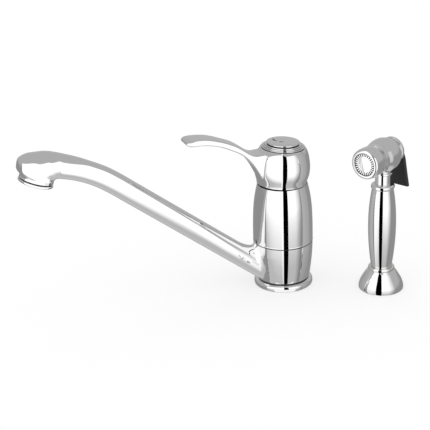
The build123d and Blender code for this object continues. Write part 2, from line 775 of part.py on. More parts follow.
with BuildPart() as lever_handle:
    with BuildSketch(Plane.XZ):
        with BuildLine():
            Polyline((dome_top_r, dome_top_z), (0, dome_top_z), (0, dome_rim_z), (dome_rim_r, dome_rim_z))
            Spline((dome_rim_r, dome_rim_z), *dome_curve, (dome_top_r, dome_top_z))
        make_face()
    revolve(axis=Axis.Z)
    loft([lever_section(*row) for row in lever_sections])
    dome_face = lever_handle.faces().filter_by(GeomType.REVOLUTION)
    root_edges = dome_face.edges().filter_by(GeomType.CIRCLE, reverse=True)
    fillet(root_edges.filter_by(lambda e: e.center().X < -dome_top_r / 2), lever_root_round)
    cavity_low_z = pivot_z - sqrt(cavity_r**2 - dome_rim_bore_r**2)
    with BuildSketch(Plane.XZ):
        with BuildLine():
            Polyline(
                (on_sphere(cavity_r, roof_z), roof_z),
                (0, roof_z),
                (0, dome_rim_z),
                (dome_rim_bore_r, dome_rim_z),
                (dome_rim_bore_r, cavity_low_z),
            )
            ThreePointArc(
                (dome_rim_bore_r, cavity_low_z), (cavity_r, pivot_z), (on_sphere(cavity_r, roof_z), roof_z)
            )
        make_face()
    revolve(axis=Axis.Z, mode=Mode.SUBTRACT)
    with BuildSketch(Plane.XY.offset(boss_z)):
        Circle(boss_r)
    extrude(amount=roof_z - boss_z)
    with BuildSketch(Plane.XY.offset(boss_z)):
        Rectangle(stem_side + 2 * seat_gap, stem_side + 2 * seat_gap)
    extrude(amount=roof_z - boss_z, mode=Mode.SUBTRACT)
    with BuildSketch(Plane.XY.offset(dome_top_z)):
        Circle(cap_spigot_r + seat_gap)
    extrude(amount=-cap_recess, mode=Mode.SUBTRACT)
    with BuildSketch(Plane.XY.offset(dome_top_z)):
        Circle(screw_r + seat_gap)
    extrude(amount=-dome_roof, mode=Mode.SUBTRACT)
save_lifted(lever_handle, "lever_handle")

with BuildPart() as handle_screw:
    with BuildSketch(Plane.XY.offset(recess_z)):
        Circle(screw_head_r)
    extrude(amount=screw_head_h)
    with BuildSketch(Plane.XY.offset(recess_z)):
        Circle(screw_r)
    extrude(amount=-screw_l)
    with BuildSketch(Plane.XY.offset(recess_z + screw_head_h)):
        RegularPolygon(screw_head_r / 2, 6)
    extrude(amount=-screw_head_h / 2, mode=Mode.SUBTRACT)
save_lifted(handle_screw, "handle_screw")

with BuildPart() as cap_ring:
    step_z = dome_top_z
    for step_r, step_h in cap_steps:
        with BuildSketch(Plane.XY.offset(step_z)):
            Circle(step_r)
        extrude(amount=step_h)
        step_z += step_h
    ledges = cap_ring.edges().filter_by(GeomType.CIRCLE).group_by(Axis.Z)[1:]
    fillet([ledge.sort_by(SortBy.RADIUS)[-1] for ledge in ledges], cap_round)
    with BuildSketch(Plane.XY.offset(recess_z)):
        Circle(cap_spigot_r)
    extrude(amount=cap_recess)
    with BuildSketch(Plane.XY.offset(recess_z)):
        Circle(cap_bore_r)
    extrude(amount=cap_top_z - recess_z, mode=Mode.SUBTRACT)
save_lifted(cap_ring, "cap_ring")

with BuildPart() as index_button:
    with BuildSketch(Plane.XZ):
        with BuildLine():
            Polyline(
                (0, button_z + button_h + button_crown),
                (0, recess_z + button_hollow_h),
                (button_hollow_r, recess_z + button_hollow_h),
                (button_hollow_r, recess_z),
                (cap_bore_r - seat_gap, recess_z),
                (cap_bore_r - seat_gap, button_z),
                (button_r, button_z),
                (button_r, button_z + button_h),
            )
            ThreePointArc(
                (button_r, button_z + button_h),
                (button_r / 2, button_z + button_h + button_crown - crown_middle(button_r, button_crown)),
                (0, button_z + button_h + button_crown),
            )
        make_face()
    revolve(axis=Axis.Z)
save_lifted(index_button, "index_button")

# Side spray: the holder in the deck, its gasket, washer and nut
with BuildPart() as spray_holder:
    with BuildSketch(spray_side):
        with BuildLine():
            Polyline(
                (holder_top_r, holder_h),
                (holder_bore_r, holder_h),
                (holder_bore_r, -holder_shank_length),
                (holder_shank_r, -holder_shank_length),
                (holder_shank_r, 0),
                (holder_r, 0),
                (holder_r, holder_side_h),
            )
            Spline((holder_r, holder_side_h), *holder_curve, (holder_top_r, holder_h))
        make_face()
    revolve(axis=spray_axis)
    with BuildSketch(Plane(origin=spray_foot)):
        Circle(holder_gasket_out + seat_gap)
        Circle(holder_gasket_in - seat_gap, mode=Mode.SUBTRACT)
    extrude(amount=gasket_h, mode=Mode.SUBTRACT)
save(spray_holder, "spray_holder")

with BuildPart() as holder_gasket:
    with BuildSketch(Plane(origin=spray_foot)):
        Circle(holder_gasket_out)
        Circle(holder_gasket_in, mode=Mode.SUBTRACT)
    extrude(amount=gasket_h)
save(holder_gasket, "holder_gasket")

with BuildPart() as holder_washer:
    with BuildSketch(Plane(origin=spray_foot - up * (deck_thickness + rubber_washer_h))):
        Circle(holder_nut_r)
        Circle(holder_shank_r + seat_gap, mode=Mode.SUBTRACT)
    extrude(amount=rubber_washer_h)
save(holder_washer, "holder_washer")

with BuildPart() as holder_nut:
    with BuildSketch(Plane(origin=spray_foot - up * (deck_thickness + rubber_washer_h + holder_nut_h))):
        RegularPolygon(holder_nut_r, 6)
        Circle(holder_shank_r + seat_gap, mode=Mode.SUBTRACT)
    extrude(amount=holder_nut_h)
save(holder_nut, "holder_nut")

with BuildPart() as holder_ring:
    with BuildSketch(spray_side):
        with BuildLine():
            Polyline(
                (holder_top_r, holder_h),
                (holder_bore_r, holder_h),
                (holder_bore_r, holder_h + holder_ring_h),
                (holder_top_r - free_gap, holder_h + holder_ring_h),
            )
            ThreePointArc(
                (holder_top_r - free_gap, holder_h + holder_ring_h),
                (holder_ring_r, holder_h + holder_ring_h / 2),
                (holder_top_r, holder_h),
            )
        make_face()
    revolve(axis=spray_axis)
save(holder_ring, "holder_ring")

# Side spray: handle with the threaded tail that the hose would screw to
with BuildPart() as spray_handle:
    with BuildSketch(spray_side):
        with BuildLine():
            Polyline((handle_top_r, handle_top_z), (0, handle_top_z), (0, handle_z), (handle_foot_r, handle_z))
            Spline((handle_foot_r, handle_z), *handle_curve, (handle_top_r, handle_top_z))
        make_face()
    revolve(axis=spray_axis)
    with BuildSketch(Plane(origin=spray_foot + up * handle_z)):
        Circle(tail_thread_r + seat_gap)
    extrude(amount=tail_seat, mode=Mode.SUBTRACT)
    with BuildSketch(Plane(origin=spray_foot + up * handle_top_z)):
        Circle(spray_neck_r + seat_gap)
    extrude(amount=-spray_neck_seat, mode=Mode.SUBTRACT)
save(spray_handle, "spray_handle")

with BuildPart() as spray_tail:
    with BuildSketch(Plane(origin=spray_foot + up * (handle_z + tail_seat))):
        Circle(tail_thread_r)
    extrude(amount=-(tail_seat + tail_spigot_h + tail_thread_h))
    with BuildSketch(Plane(origin=spray_foot + up * (handle_z - run_gap))):
        Circle(holder_bore_r - seat_gap)
    extrude(amount=-tail_spigot_h)
    with BuildSketch(Plane(origin=spray_foot + up * (handle_z + tail_seat))):
        Circle(tail_bore_r)
    extrude(amount=-(tail_seat + tail_spigot_h + tail_thread_h), mode=Mode.SUBTRACT)
save(spray_tail, "spray_tail")

with BuildPart() as handle_collar:
    with BuildSketch(spray_side):
        with BuildLine():
            Polyline(
                (handle_top_r, handle_top_z),
                (spray_neck_r + seat_gap, handle_top_z),
                (spray_neck_r + seat_gap, handle_top_z + collar_h),
                (handle_top_r - collar_h / 2, handle_top_z + collar_h),
            )
            ThreePointArc(
                (handle_top_r - collar_h / 2, handle_top_z + collar_h),
                (collar_r, handle_top_z + collar_h / 2),
                (handle_top_r, handle_top_z),
            )
        make_face()
    revolve(axis=spray_axis)
save(handle_collar, "handle_collar")

with BuildPart() as spray_neck:
    with BuildSketch(Plane(origin=spray_foot + up * spray_neck_z)):
        Circle(spray_neck_r)
    extrude(amount=spray_neck_top_z - spray_neck_z)
save(spray_neck, "spray_neck")

with BuildPart() as neck_ring:
    with BuildSketch(Plane(origin=spray_foot + up * neck_ring_z)):
        Circle(neck_ring_r)
    extrude(amount=neck_ring_h)
    fillet(neck_ring.edges().filter_by(GeomType.CIRCLE), neck_ring_round)
    with BuildSketch(Plane(origin=spray_foot + up * neck_ring_z)):
        Circle(spray_neck_r + seat_gap)
    extrude(amount=neck_ring_h, mode=Mode.SUBTRACT)
save(neck_ring, "neck_ring")

# Side spray: head, and the nozzle's band, shell and plate in front of it
with BuildPart() as spray_head:
    with BuildSketch(head_side):
        with BuildLine():
            Polyline((head_front, head_front_r), (head_front, 0), (-head_back, 0), (-head_back, head_back_r))
            Spline((-head_back, head_back_r), *head_curve, (head_front, head_front_r))
        make_face()
    revolve(axis=head_axis)
    with BuildSketch(Plane(origin=spray_foot + up * head_boss_z)):
        Circle(head_boss_r)
    extrude(amount=head_z - head_boss_z)
    with BuildSketch(Plane(origin=spray_foot + up * head_boss_z)):
        Circle(spray_neck_r + seat_gap)
    extrude(amount=spray_neck_top_z - head_boss_z + seat_gap, mode=Mode.SUBTRACT)
    with BuildSketch(Plane(origin=head_centre + up * (plunger_z - head_z) - front * head_back, z_dir=front)):
        Circle(plunger_r + run_gap)
    extrude(amount=plunger_seat, mode=Mode.SUBTRACT)
save(spray_head, "spray_head")

band_points = [(band_start, 0), (band_start, band_r), (band_start + band_plain_l, band_r)]
groove_pitch = (band_l - band_plain_l) / band_grooves
for i in range(band_grooves):
    start = band_start + band_plain_l + i * groove_pitch
    band_points.append((start, band_groove_r))
    band_points.append((start + groove_pitch / 2, band_groove_r))
    band_points.append((start + groove_pitch / 2, head_front_r))
    band_points.append((start + groove_pitch, head_front_r))
band_points.append((band_start + band_l, 0))
with BuildPart() as nozzle_band:
    with BuildSketch(head_side):
        with BuildLine():
            Polyline(*band_points, close=True)
        make_face()
    revolve(axis=head_axis)
save(nozzle_band, "nozzle_band")

plate_back = nozzle_front - plate_inset - plate_h
with BuildPart() as nozzle_shell:
    with BuildSketch(head_side):
        with BuildLine():
            Polyline(
                (nozzle_front, nozzle_rim_r),
                (nozzle_front, nozzle_mouth_r),
                (nozzle_front - plate_inset, plate_r + seat_gap),
                (plate_back - seat_gap, plate_r + seat_gap),
                (plate_back - seat_gap, 0),
                (nozzle_start, 0),
                (nozzle_start, band_groove_r),
            )
            Spline(
                (nozzle_start, band_groove_r),
                (nozzle_start + nozzle_l * 0.1, nozzle_r - free_gap),
                (nozzle_start + nozzle_l * 0.45, nozzle_r),
                (nozzle_start + nozzle_l * 0.85, nozzle_r - free_gap),
                (nozzle_front, nozzle_rim_r),
            )
        make_face()
    revolve(axis=head_axis)
save(nozzle_shell, "nozzle_shell")

with BuildPart() as spray_plate:
    with BuildSketch(Plane(origin=head_centre + front * plate_back, x_dir=up, z_dir=front)):
        Circle(plate_r)
        with PolarLocations(spray_slot_ring_r, spray_slots):
            Rectangle(spray_slot_l, spray_slot_w, mode=Mode.SUBTRACT)
    extrude(amount=plate_h)
save(spray_plate, "spray_plate")

# Side spray: cap behind the head, with the trigger's pin, tongue slot and plunger hole
cap_start = -head_back - run_gap
cap_rear = cap_start - rear_cap_l
pin_from_head = trigger_pivot_z - head_z
with BuildPart() as rear_cap:
    with BuildSketch(head_side):
        with BuildLine():
            Polyline((cap_rear - rear_cap_crown, 0), (cap_start, 0), (cap_start, rear_cap_r), (cap_rear, rear_cap_r))
            ThreePointArc(
                (cap_rear, rear_cap_r),
                (cap_rear - rear_cap_crown + crown_middle(rear_cap_r, rear_cap_crown), rear_cap_r / 2),
                (cap_rear - rear_cap_crown, 0),
            )
        make_face()
    revolve(axis=head_axis)
    with BuildSketch(head_side):
        with Locations((cap_start - rear_cap_l, pin_from_head)):
            Rectangle(2 * rear_cap_l - run_gap, 2 * tongue_play)
    extrude(amount=tongue_w / 2 + free_gap, both=True, mode=Mode.SUBTRACT)
    with BuildSketch(head_side):
        with Locations((-trigger_pivot_back, pin_from_head)):
            Circle(trigger_pin_r + run_gap)
    extrude(amount=rear_cap_r, both=True, mode=Mode.SUBTRACT)
    with BuildSketch(Plane(origin=head_centre + up * (plunger_z - head_z), z_dir=-front)):
        Circle(plunger_r + run_gap)
    extrude(amount=-cap_rear + rear_cap_crown, mode=Mode.SUBTRACT)
save(rear_cap, "rear_cap")

with BuildPart() as trigger_pin:
    with BuildSketch(head_side):
        with Locations((-trigger_pivot_back, pin_from_head)):
            Circle(trigger_pin_r)
    extrude(amount=trigger_pin_l / 2, both=True)
save(trigger_pin, "trigger_pin")

# Trigger: a flaring plate behind the neck, hung from the pin by its tongue
trigger_top_z = trigger_curve[0][1]
trigger_foot_z = trigger_curve[-1][1]
inner_face = [(-back, height - head_z) for back, height in trigger_curve]
outer_face = [(x - trigger_t, y) for x, y in reversed(inner_face)]
tongue_reach = trigger_curve[0][0] + (trigger_t - tongue_h) / 2 - trigger_pivot_back
trigger_face = Plane(origin=spray_foot, x_dir=front.cross(up), z_dir=-front)
with BuildPart() as trigger:
    with BuildSketch(head_side):
        with BuildLine():
            Spline(*inner_face)
            Line(inner_face[-1], outer_face[0])
            Spline(*outer_face)
            Line(outer_face[-1], inner_face[0])
        make_face()
    extrude(amount=trigger_foot_w, both=True)
    with BuildSketch(trigger_face):
        with BuildLine():
            Polyline(
                (-trigger_w / 2, trigger_top_z),
                (trigger_w / 2, trigger_top_z),
                (trigger_foot_w / 2, trigger_foot_z),
                (-trigger_foot_w / 2, trigger_foot_z),
                close=True,
            )
        make_face()
    extrude(amount=2 * head_back + trigger_t, mode=Mode.INTERSECT)
    fillet(trigger.edges().filter_by(Axis(head_centre, front)).group_by(Axis.Z)[-1], trigger_round)
    with BuildSketch(head_side):
        with Locations((-trigger_pivot_back, pin_from_head)):
            SlotCenterPoint((-tongue_reach / 2, 0), (0, 0), tongue_h)
    extrude(amount=tongue_w / 2, both=True)
    with BuildSketch(head_side):
        with Locations((-trigger_pivot_back, pin_from_head)):
            Circle(trigger_pin_r + run_gap)
    extrude(amount=tongue_w, both=True, mode=Mode.SUBTRACT)
save(trigger, "trigger")

# Plunger: pushed in by the trigger, it opens the spray's valve
plunger_reach = trigger_curve[1][0] - free_gap
with BuildPart() as valve_plunger:
    with BuildSketch(Plane(origin=head_centre + up * (plunger_z - head_z) - front * plunger_reach, z_dir=front)):
        Circle(plunger_r)
    extrude(amount=plunger_reach - head_back + plunger_stroke)
save(valve_plunger, "valve_plunger")
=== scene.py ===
import json
from math import atan2, cos, degrees, radians, sin, sqrt, tan, tau

import bmesh
import bpy
from mathutils import Matrix, Vector


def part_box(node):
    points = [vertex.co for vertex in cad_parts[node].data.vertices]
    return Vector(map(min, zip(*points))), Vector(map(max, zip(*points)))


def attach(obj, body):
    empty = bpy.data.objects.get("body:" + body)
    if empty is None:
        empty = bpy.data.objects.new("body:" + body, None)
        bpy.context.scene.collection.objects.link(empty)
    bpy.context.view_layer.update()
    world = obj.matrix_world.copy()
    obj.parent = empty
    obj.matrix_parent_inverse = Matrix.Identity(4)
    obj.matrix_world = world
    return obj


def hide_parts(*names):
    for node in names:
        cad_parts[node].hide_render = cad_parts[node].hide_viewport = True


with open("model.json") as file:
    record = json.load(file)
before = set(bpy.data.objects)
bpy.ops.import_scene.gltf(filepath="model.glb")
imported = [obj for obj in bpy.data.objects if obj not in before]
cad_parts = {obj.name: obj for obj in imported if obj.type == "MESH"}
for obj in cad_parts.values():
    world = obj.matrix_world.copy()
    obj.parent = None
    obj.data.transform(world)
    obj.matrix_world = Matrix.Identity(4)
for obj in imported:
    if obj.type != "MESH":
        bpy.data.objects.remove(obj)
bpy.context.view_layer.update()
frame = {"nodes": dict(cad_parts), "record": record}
nodes = frame["nodes"]
print("frame loaded:", len(nodes), "nodes")

# camera: turned to the left of the deck's front, looking down, tipped a little
cameraSetup = {
    "heading": -20.0,
    "pitch": 22.5,
    "roll": -1.9,
    "place": (-0.41773, -0.97352, 0.503892),
    "lens": 108.84,
    "sensor": 36.0,
}


def aimCamera(setup):
    data = bpy.data.cameras.new("studioCamera")
    data.lens = setup["lens"]
    data.sensor_width = setup["sensor"]
    data.clip_start = 0.02
    data.clip_end = 20.0
    camera = bpy.data.objects.new("studioCamera", data)
    bpy.context.scene.collection.objects.link(camera)
    turn = Matrix.Rotation(radians(setup["heading"]), 4, "Z")
    tip = Matrix.Rotation(radians(90.0 - setup["pitch"]), 4, "X")
    roll = Matrix.Rotation(radians(setup["roll"]), 4, "Z")
    camera.matrix_world = Matrix.Translation(setup["place"]) @ turn @ tip @ roll
    bpy.context.scene.camera = camera


aimCamera(cameraSetup)
bpy.context.scene.view_settings.view_transform = "Standard"
print("camera aimed")


# shader helpers
def link(tree, source, target):
    tree.links.new(source, target)


def addNode(tree, kind, place=(0, 0), **values):
    node = tree.nodes.new(kind)
    node.location = place
    for key, value in values.items():
        setattr(node, key, value)
    return node


def newGroup(name, inputs, outputs):
    tree = bpy.data.node_groups.new(name, "ShaderNodeTree")
    for label, kind, value in inputs:
        socket = tree.interface.new_socket(label, in_out="INPUT", socket_type=kind)
        socket.default_value = value
    for label, kind in outputs:
        tree.interface.new_socket(label, in_out="OUTPUT", socket_type=kind)
    return tree, addNode(tree, "NodeGroupInput", (-900, 0)), addNode(tree, "NodeGroupOutput", (600, 0))


def buildPolishGroup():
    # buffing haze: roughness that drifts, and a very weak ripple of the plated skin
    tree, given, out = newGroup(
        "polishHaze",
        [
            ("Roughness", "NodeSocketFloat", 0.03),
            ("Haze", "NodeSocketFloat", 0.03),
            ("Haze Scale", "NodeSocketFloat", 60.0),
            ("Ripple", "NodeSocketFloat", 0.02),
            ("Ripple Scale", "NodeSocketFloat", 45.0),
        ],
        [("Roughness", "NodeSocketFloat"), ("Normal", "NodeSocketVector")],
    )
    place = addNode(tree, "ShaderNodeTexCoord", (-900, -300))
    haze = addNode(tree, "ShaderNodeTexNoise", (-600, 150))
    haze.inputs["Detail"].default_value = 5.0
    link(tree, place.outputs["Object"], haze.inputs["Vector"])
    link(tree, given.outputs["Haze Scale"], haze.inputs["Scale"])
    spread = addNode(tree, "ShaderNodeMath", (-300, 150), operation="MULTIPLY")
    link(tree, haze.outputs["Fac"], spread.inputs[0])
    link(tree, given.outputs["Haze"], spread.inputs[1])
    total = addNode(tree, "ShaderNodeMath", (0, 150), operation="ADD")
    link(tree, spread.outputs[0], total.inputs[0])
    link(tree, given.outputs["Roughness"], total.inputs[1])
    ripple = addNode(tree, "ShaderNodeTexNoise", (-600, -200))
    ripple.inputs["Detail"].default_value = 1.0
    link(tree, place.outputs["Object"], ripple.inputs["Vector"])
    link(tree, given.outputs["Ripple Scale"], ripple.inputs["Scale"])
    bump = addNode(tree, "ShaderNodeBump", (0, -200))
    bump.inputs["Distance"].default_value = 0.0004
    link(tree, ripple.outputs["Fac"], bump.inputs["Height"])
    link(tree, given.outputs["Ripple"], bump.inputs["Strength"])
    link(tree, total.outputs[0], out.inputs["Roughness"])
    link(tree, bump.outputs["Normal"], out.inputs["Normal"])
    return tree


def buildGrainGroup():
    # moulded or cut grain: two shades, a roughness and a bump from one fine noise
    tree, given, out = newGroup(
        "mouldGrain",
        [
            ("Shade", "NodeSocketColor", (0.1, 0.1, 0.1, 1)),
            ("Other Shade", "NodeSocketColor", (0.15, 0.15, 0.15, 1)),
            ("Scale", "NodeSocketFloat", 900.0),
            ("Stretch", "NodeSocketFloat", 1.0),
            ("Depth", "NodeSocketFloat", 0.3),
            ("Smooth", "NodeSocketFloat", 0.35),
            ("Coarse", "NodeSocketFloat", 0.55),
        ],
        [
            ("Color", "NodeSocketColor"),
            ("Roughness", "NodeSocketFloat"),
            ("Normal", "NodeSocketVector"),
        ],
    )
    place = addNode(tree, "ShaderNodeTexCoord", (-900, -300))
    stretch = addNode(tree, "ShaderNodeCombineXYZ", (-900, -500))
    stretch.inputs[0].default_value = 1.0
    stretch.inputs[1].default_value = 1.0
    link(tree, given.outputs["Stretch"], stretch.inputs[2])
    scaled = addNode(tree, "ShaderNodeVectorMath", (-700, -300), operation="MULTIPLY")
    link(tree, place.outputs["Object"], scaled.inputs[0])
    link(tree, stretch.outputs[0], scaled.inputs[1])
    noise = addNode(tree, "ShaderNodeTexNoise", (-500, 0))
    noise.inputs["Detail"].default_value = 4.0
    link(tree, scaled.outputs[0], noise.inputs["Vector"])
    link(tree, given.outputs["Scale"], noise.inputs["Scale"])
    mix = addNode(tree, "ShaderNodeMix", (-100, 200), data_type="RGBA")
    link(tree, noise.outputs["Fac"], mix.inputs[0])
    link(tree, given.outputs["Shade"], mix.inputs[6])
    link(tree, given.outputs["Other Shade"], mix.inputs[7])
    span = addNode(tree, "ShaderNodeMapRange", (-100, -50))
    link(tree, noise.outputs["Fac"], span.inputs["Value"])
    link(tree, given.outputs["Smooth"], span.inputs["To Min"])
    link(tree, given.outputs["Coarse"], span.inputs["To Max"])
    bump = addNode(tree, "ShaderNodeBump", (-100, -350))
    bump.inputs["Distance"].default_value = 0.0003
    link(tree, noise.outputs["Fac"], bump.inputs["Height"])
    link(tree, given.outputs["Depth"], bump.inputs["Strength"])
    link(tree, mix.outputs[2], out.inputs["Color"])
    link(tree, span.outputs[0], out.inputs["Roughness"])
    link(tree, bump.outputs["Normal"], out.inputs["Normal"])
    return tree


polishHaze = buildPolishGroup()
mouldGrain = buildGrainGroup()


def newMaterial(name):
    material = bpy.data.materials.new(name)
    material.use_nodes = True
    tree = material.node_tree
    return material, tree, tree.nodes["Principled BSDF"]


def polishedMetal(name, colour, haze):
    material, tree, surface = newMaterial(name)
    surface.inputs["Base Color"].default_value = (*colour, 1)
    surface.inputs["Metallic"].default_value = 1.0
    polish = addNode(tree, "ShaderNodeGroup", (-400, 0), node_tree=polishHaze)
    for label, value in haze.items():
        polish.inputs[label].default_value = value
    link(tree, polish.outputs["Roughness"], surface.inputs["Roughness"])
    link(tree, polish.outputs["Normal"], surface.inputs["Normal"])
    return material


def grainedStuff(name, metallic, specular, grain):
    material, tree, surface = newMaterial(name)
    surface.inputs["Metallic"].default_value = metallic
    surface.inputs["Specular IOR Level"].default_value = specular
    group = addNode(tree, "ShaderNodeGroup", (-400, 0), node_tree=mouldGrain)
    for label, value in grain.items():
        group.inputs[label].default_value = value
    link(tree, group.outputs["Color"], surface.inputs["Base Color"])
    link(tree, group.outputs["Roughness"], surface.inputs["Roughness"])
    link(tree, group.outputs["Normal"], surface.inputs["Normal"])
    return material


finishes = {
    "chrome": polishedMetal(
        "chromePlate", (0.87, 0.875, 0.87), {"Roughness": 0.015, "Haze": 0.03, "Haze Scale": 60.0, "Ripple": 0.006}
    ),
    "brass": grainedStuff(
        "castBrass", 1.0, 0.5,
        {"Shade": (0.60, 0.43, 0.18, 1), "Other Shade": (0.72, 0.54, 0.26, 1), "Scale": 500.0,
         "Depth": 0.25, "Smooth": 0.22, "Coarse": 0.42},
    ),
    "copper": grainedStuff(
        "drawnCopper", 1.0, 0.5,
        {"Shade": (0.62, 0.29, 0.17, 1), "Other Shade": (0.78, 0.42, 0.28, 1), "Scale": 700.0,
         "Stretch": 0.08, "Depth": 0.12, "Smooth": 0.18, "Coarse": 0.36},
    ),
    "steel": grainedStuff(
        "zincSteel", 1.0, 0.5,
        {"Shade": (0.50, 0.50, 0.49, 1), "Other Shade": (0.64, 0.64, 0.63, 1), "Scale": 900.0,
         "Stretch": 0.3, "Depth": 0.15, "Smooth": 0.25, "Coarse": 0.45},
    ),
    "rubber": grainedStuff(
        "blackRubber", 0.0, 0.3,
        {"Shade": (0.014, 0.014, 0.015, 1), "Other Shade": (0.03, 0.03, 0.031, 1), "Scale": 1200.0,
         "Depth": 0.35, "Smooth": 0.6, "Coarse": 0.85},
    ),
    "black_plastic": grainedStuff(
        "blackMoulding", 0.0, 0.5,
        {"Shade": (0.018, 0.018, 0.019, 1), "Other Shade": (0.036, 0.036, 0.037, 1), "Scale": 1500.0,
         "Depth": 0.2, "Smooth": 0.3, "Coarse": 0.45},
    ),
    "pale_plastic": grainedStuff(
        "paleMoulding", 0.0, 0.5,
        {"Shade": (0.62, 0.62, 0.60, 1), "Other Shade": (0.74, 0.74, 0.72, 1), "Scale": 1100.0,
         "Depth": 0.15, "Smooth": 0.35, "Coarse": 0.5},
    ),
    "ceramic": grainedStuff(
        "lappedCeramic", 0.0, 0.6,
        {"Shade": (0.78, 0.76, 0.70, 1), "Other Shade": (0.86, 0.84, 0.80, 1), "Scale": 1600.0,
         "Depth": 0.05, "Smooth": 0.12, "Coarse": 0.25},
    ),
    "index_cap": polishedMetal(
        "capPlate", (0.85, 0.855, 0.855), {"Roughness": 0.04, "Haze": 0.05, "Haze Scale": 90.0, "Ripple": 0.03}
    ),
    "stem_metal": grainedStuff(
        "stemSteel", 1.0, 0.5,
        {"Shade": (0.45, 0.45, 0.44, 1), "Other Shade": (0.58, 0.58, 0.57, 1), "Scale": 800.0,
         "Stretch": 0.2, "Depth": 0.1, "Smooth": 0.2, "Coarse": 0.35},
    ),
}
print("finishes made:", len(finishes))

slotOf = {row["node"]: row["material_slot"] for row in frame["record"]["subparts"]}
for name, node in nodes.items():
    node.data.materials.clear()
    node.data.materials.append(finishes[slotOf[name]])
print("nodes finished")

# piece helpers: profiles are (radius, height) in millimetres, the meshes are in metres
mm = 0.001
weldGap = 1e-6
cornerSteps = 8
upright = Matrix.Identity(4)


def straightLine(*points):
    return [Vector(p) for p in points]


def softCorners(*points):
    # corners with a third value are rounded by that radius
    path = []
    for i, corner in enumerate(points):
        here = Vector(corner[:2])
        if len(corner) < 3:
            path.append(here)
            continue
        before = (Vector(points[i - 1][:2]) - here).normalized()
        after = (Vector(points[(i + 1) % len(points)][:2]) - here).normalized()
        half = before.angle(after) / 2
        centre = here + (before + after).normalized() * corner[2] / sin(half)
        start = here + before * corner[2] / tan(half) - centre
        end = here + after * corner[2] / tan(half) - centre
        sweep = start.angle(end)
        for k in range(cornerSteps + 1):
            share = k / cornerSteps
            startPart = start * (sin((1 - share) * sweep) / sin(sweep))
            path.append(centre + startPart + end * (sin(share * sweep) / sin(sweep)))
    return path


def smoothRun(a, b, slopeA, slopeB, t):
    # place at the share t of a smooth run from a to b
    return (
        a * (2 * t**3 - 3 * t**2 + 1) + slopeA * (t**3 - 2 * t**2 + t)
        + b * (3 * t**2 - 2 * t**3) + slopeB * (t**3 - t**2)
    )


def flowLine(points, steps=6):
    # smooth curve through the points
    path = []
    count = len(points)
    for i in range(count - 1):
        a, b = Vector(points[i]), Vector(points[i + 1])
        slopeA = (b - Vector(points[max(i - 1, 0)])) / (2 if i else 1)
        slopeB = (Vector(points[min(i + 2, count - 1)]) - a) / (2 if i < count - 2 else 1)
        path += [smoothRun(a, b, slopeA, slopeB, k / steps) for k in range(steps)]
    path.append(Vector(points[-1]))
    return path


def addRing(build, radius, height, steps, place):
    ring = []
    for k in range(steps):
        a = tau * k / steps
        ring.append(build.verts.new(place @ Vector((radius * cos(a) * mm, radius * sin(a) * mm, height * mm))))
    return ring


def joinRings(build, rings):
    # quads from each ring to the next, and from the last back to the first
    for i, ring in enumerate(rings):
        other = rings[(i + 1) % len(rings)]
        for k in range(len(ring)):
            n = (k + 1) % len(ring)
            build.faces.new((ring[k], ring[n], other[n], other[k]))


def joinPlates(build, one, other):
    # two grids of points become one plate with closed rims
    rows, columns = len(one) - 1, len(one[0]) - 1
    for i in range(rows):
        for k in range(columns):
            build.faces.new((one[i][k], one[i][k + 1], one[i + 1][k + 1], one[i + 1][k]))
            build.faces.new((other[i][k], other[i + 1][k], other[i + 1][k + 1], other[i][k + 1]))
        for k in (0, columns):
            build.faces.new((one[i][k], one[i + 1][k], other[i + 1][k], other[i][k]))
    for i in (0, rows):
        for k in range(columns):
            build.faces.new((one[i][k], other[i][k], other[i][k + 1], one[i][k + 1]))


def lathe(profile, place=upright, steps=96):
    # turns a closed profile about the place's own Z
    build = bmesh.new()
    rings = []
    for radius, height in profile:
        if radius < weldGap:
            rings.append([build.verts.new(place @ Vector((0, 0, height * mm)))])
        else:
            rings.append(addRing(build, radius, height, steps, place))
    for i, ring in enumerate(rings):
        other = rings[(i + 1) % len(rings)]
        if len(ring) == 1 and len(other) == 1:
            continue
        for k in range(steps):
            n = (k + 1) % steps
            if len(ring) == 1:
                build.faces.new((ring[0], other[k], other[n]))
            elif len(other) == 1:
                build.faces.new((ring[k], ring[n], other[0]))
            else:
                build.faces.new((ring[k], ring[n], other[n], other[k]))
    return build


def roundBar(radius, low, high, place, steps=96):
    return lathe(straightLine((0, low), (radius, low), (radius, high), (0, high)), place, steps)


def flatRing(inner, outer, low, high, place):
    return lathe(straightLine((inner, low), (outer, low), (outer, high), (inner, high)), place)


threadForm = {"steps": 60, "rowsPerTurn": 8, "flankTop": 1.6, "flankFall": 3.2}


def threadedTube(values, place=upright):
    # a tube whose outside is a real helical thread; the crests stay at the outer radius
    depth, pitch, low, high = values["depth"], values["pitch"], values["low"], values["high"]
    plainFrom = values.get("plain", high)
    steps = threadForm["steps"]
    rows = int((high - low) / pitch * threadForm["rowsPerTurn"]) + 1
    build = bmesh.new()
    rings = []
    for row in range(rows + 1):
        z = low + (high - low) * row / rows
        lead = max(0.0, depth * (1 - (z - low) / pitch))
        ring = []
        for k in range(steps):
            turn = (z / pitch - k / steps) % 1.0
            flank = threadForm["flankTop"] - threadForm["flankFall"] * abs(turn - 0.5)
            cut = depth * min(1.0, max(0.0, flank)) if z < plainFrom else 0.0
            r = values["radius"] - max(cut, lead)
            a = tau * k / steps
            ring.append(build.verts.new(place @ Vector((r * cos(a) * mm, r * sin(a) * mm, z * mm))))
        rings.append(ring)
    rings += [addRing(build, values["bore"], z, steps, place) for z in (high, low)]
    joinRings(build, rings)
    return build


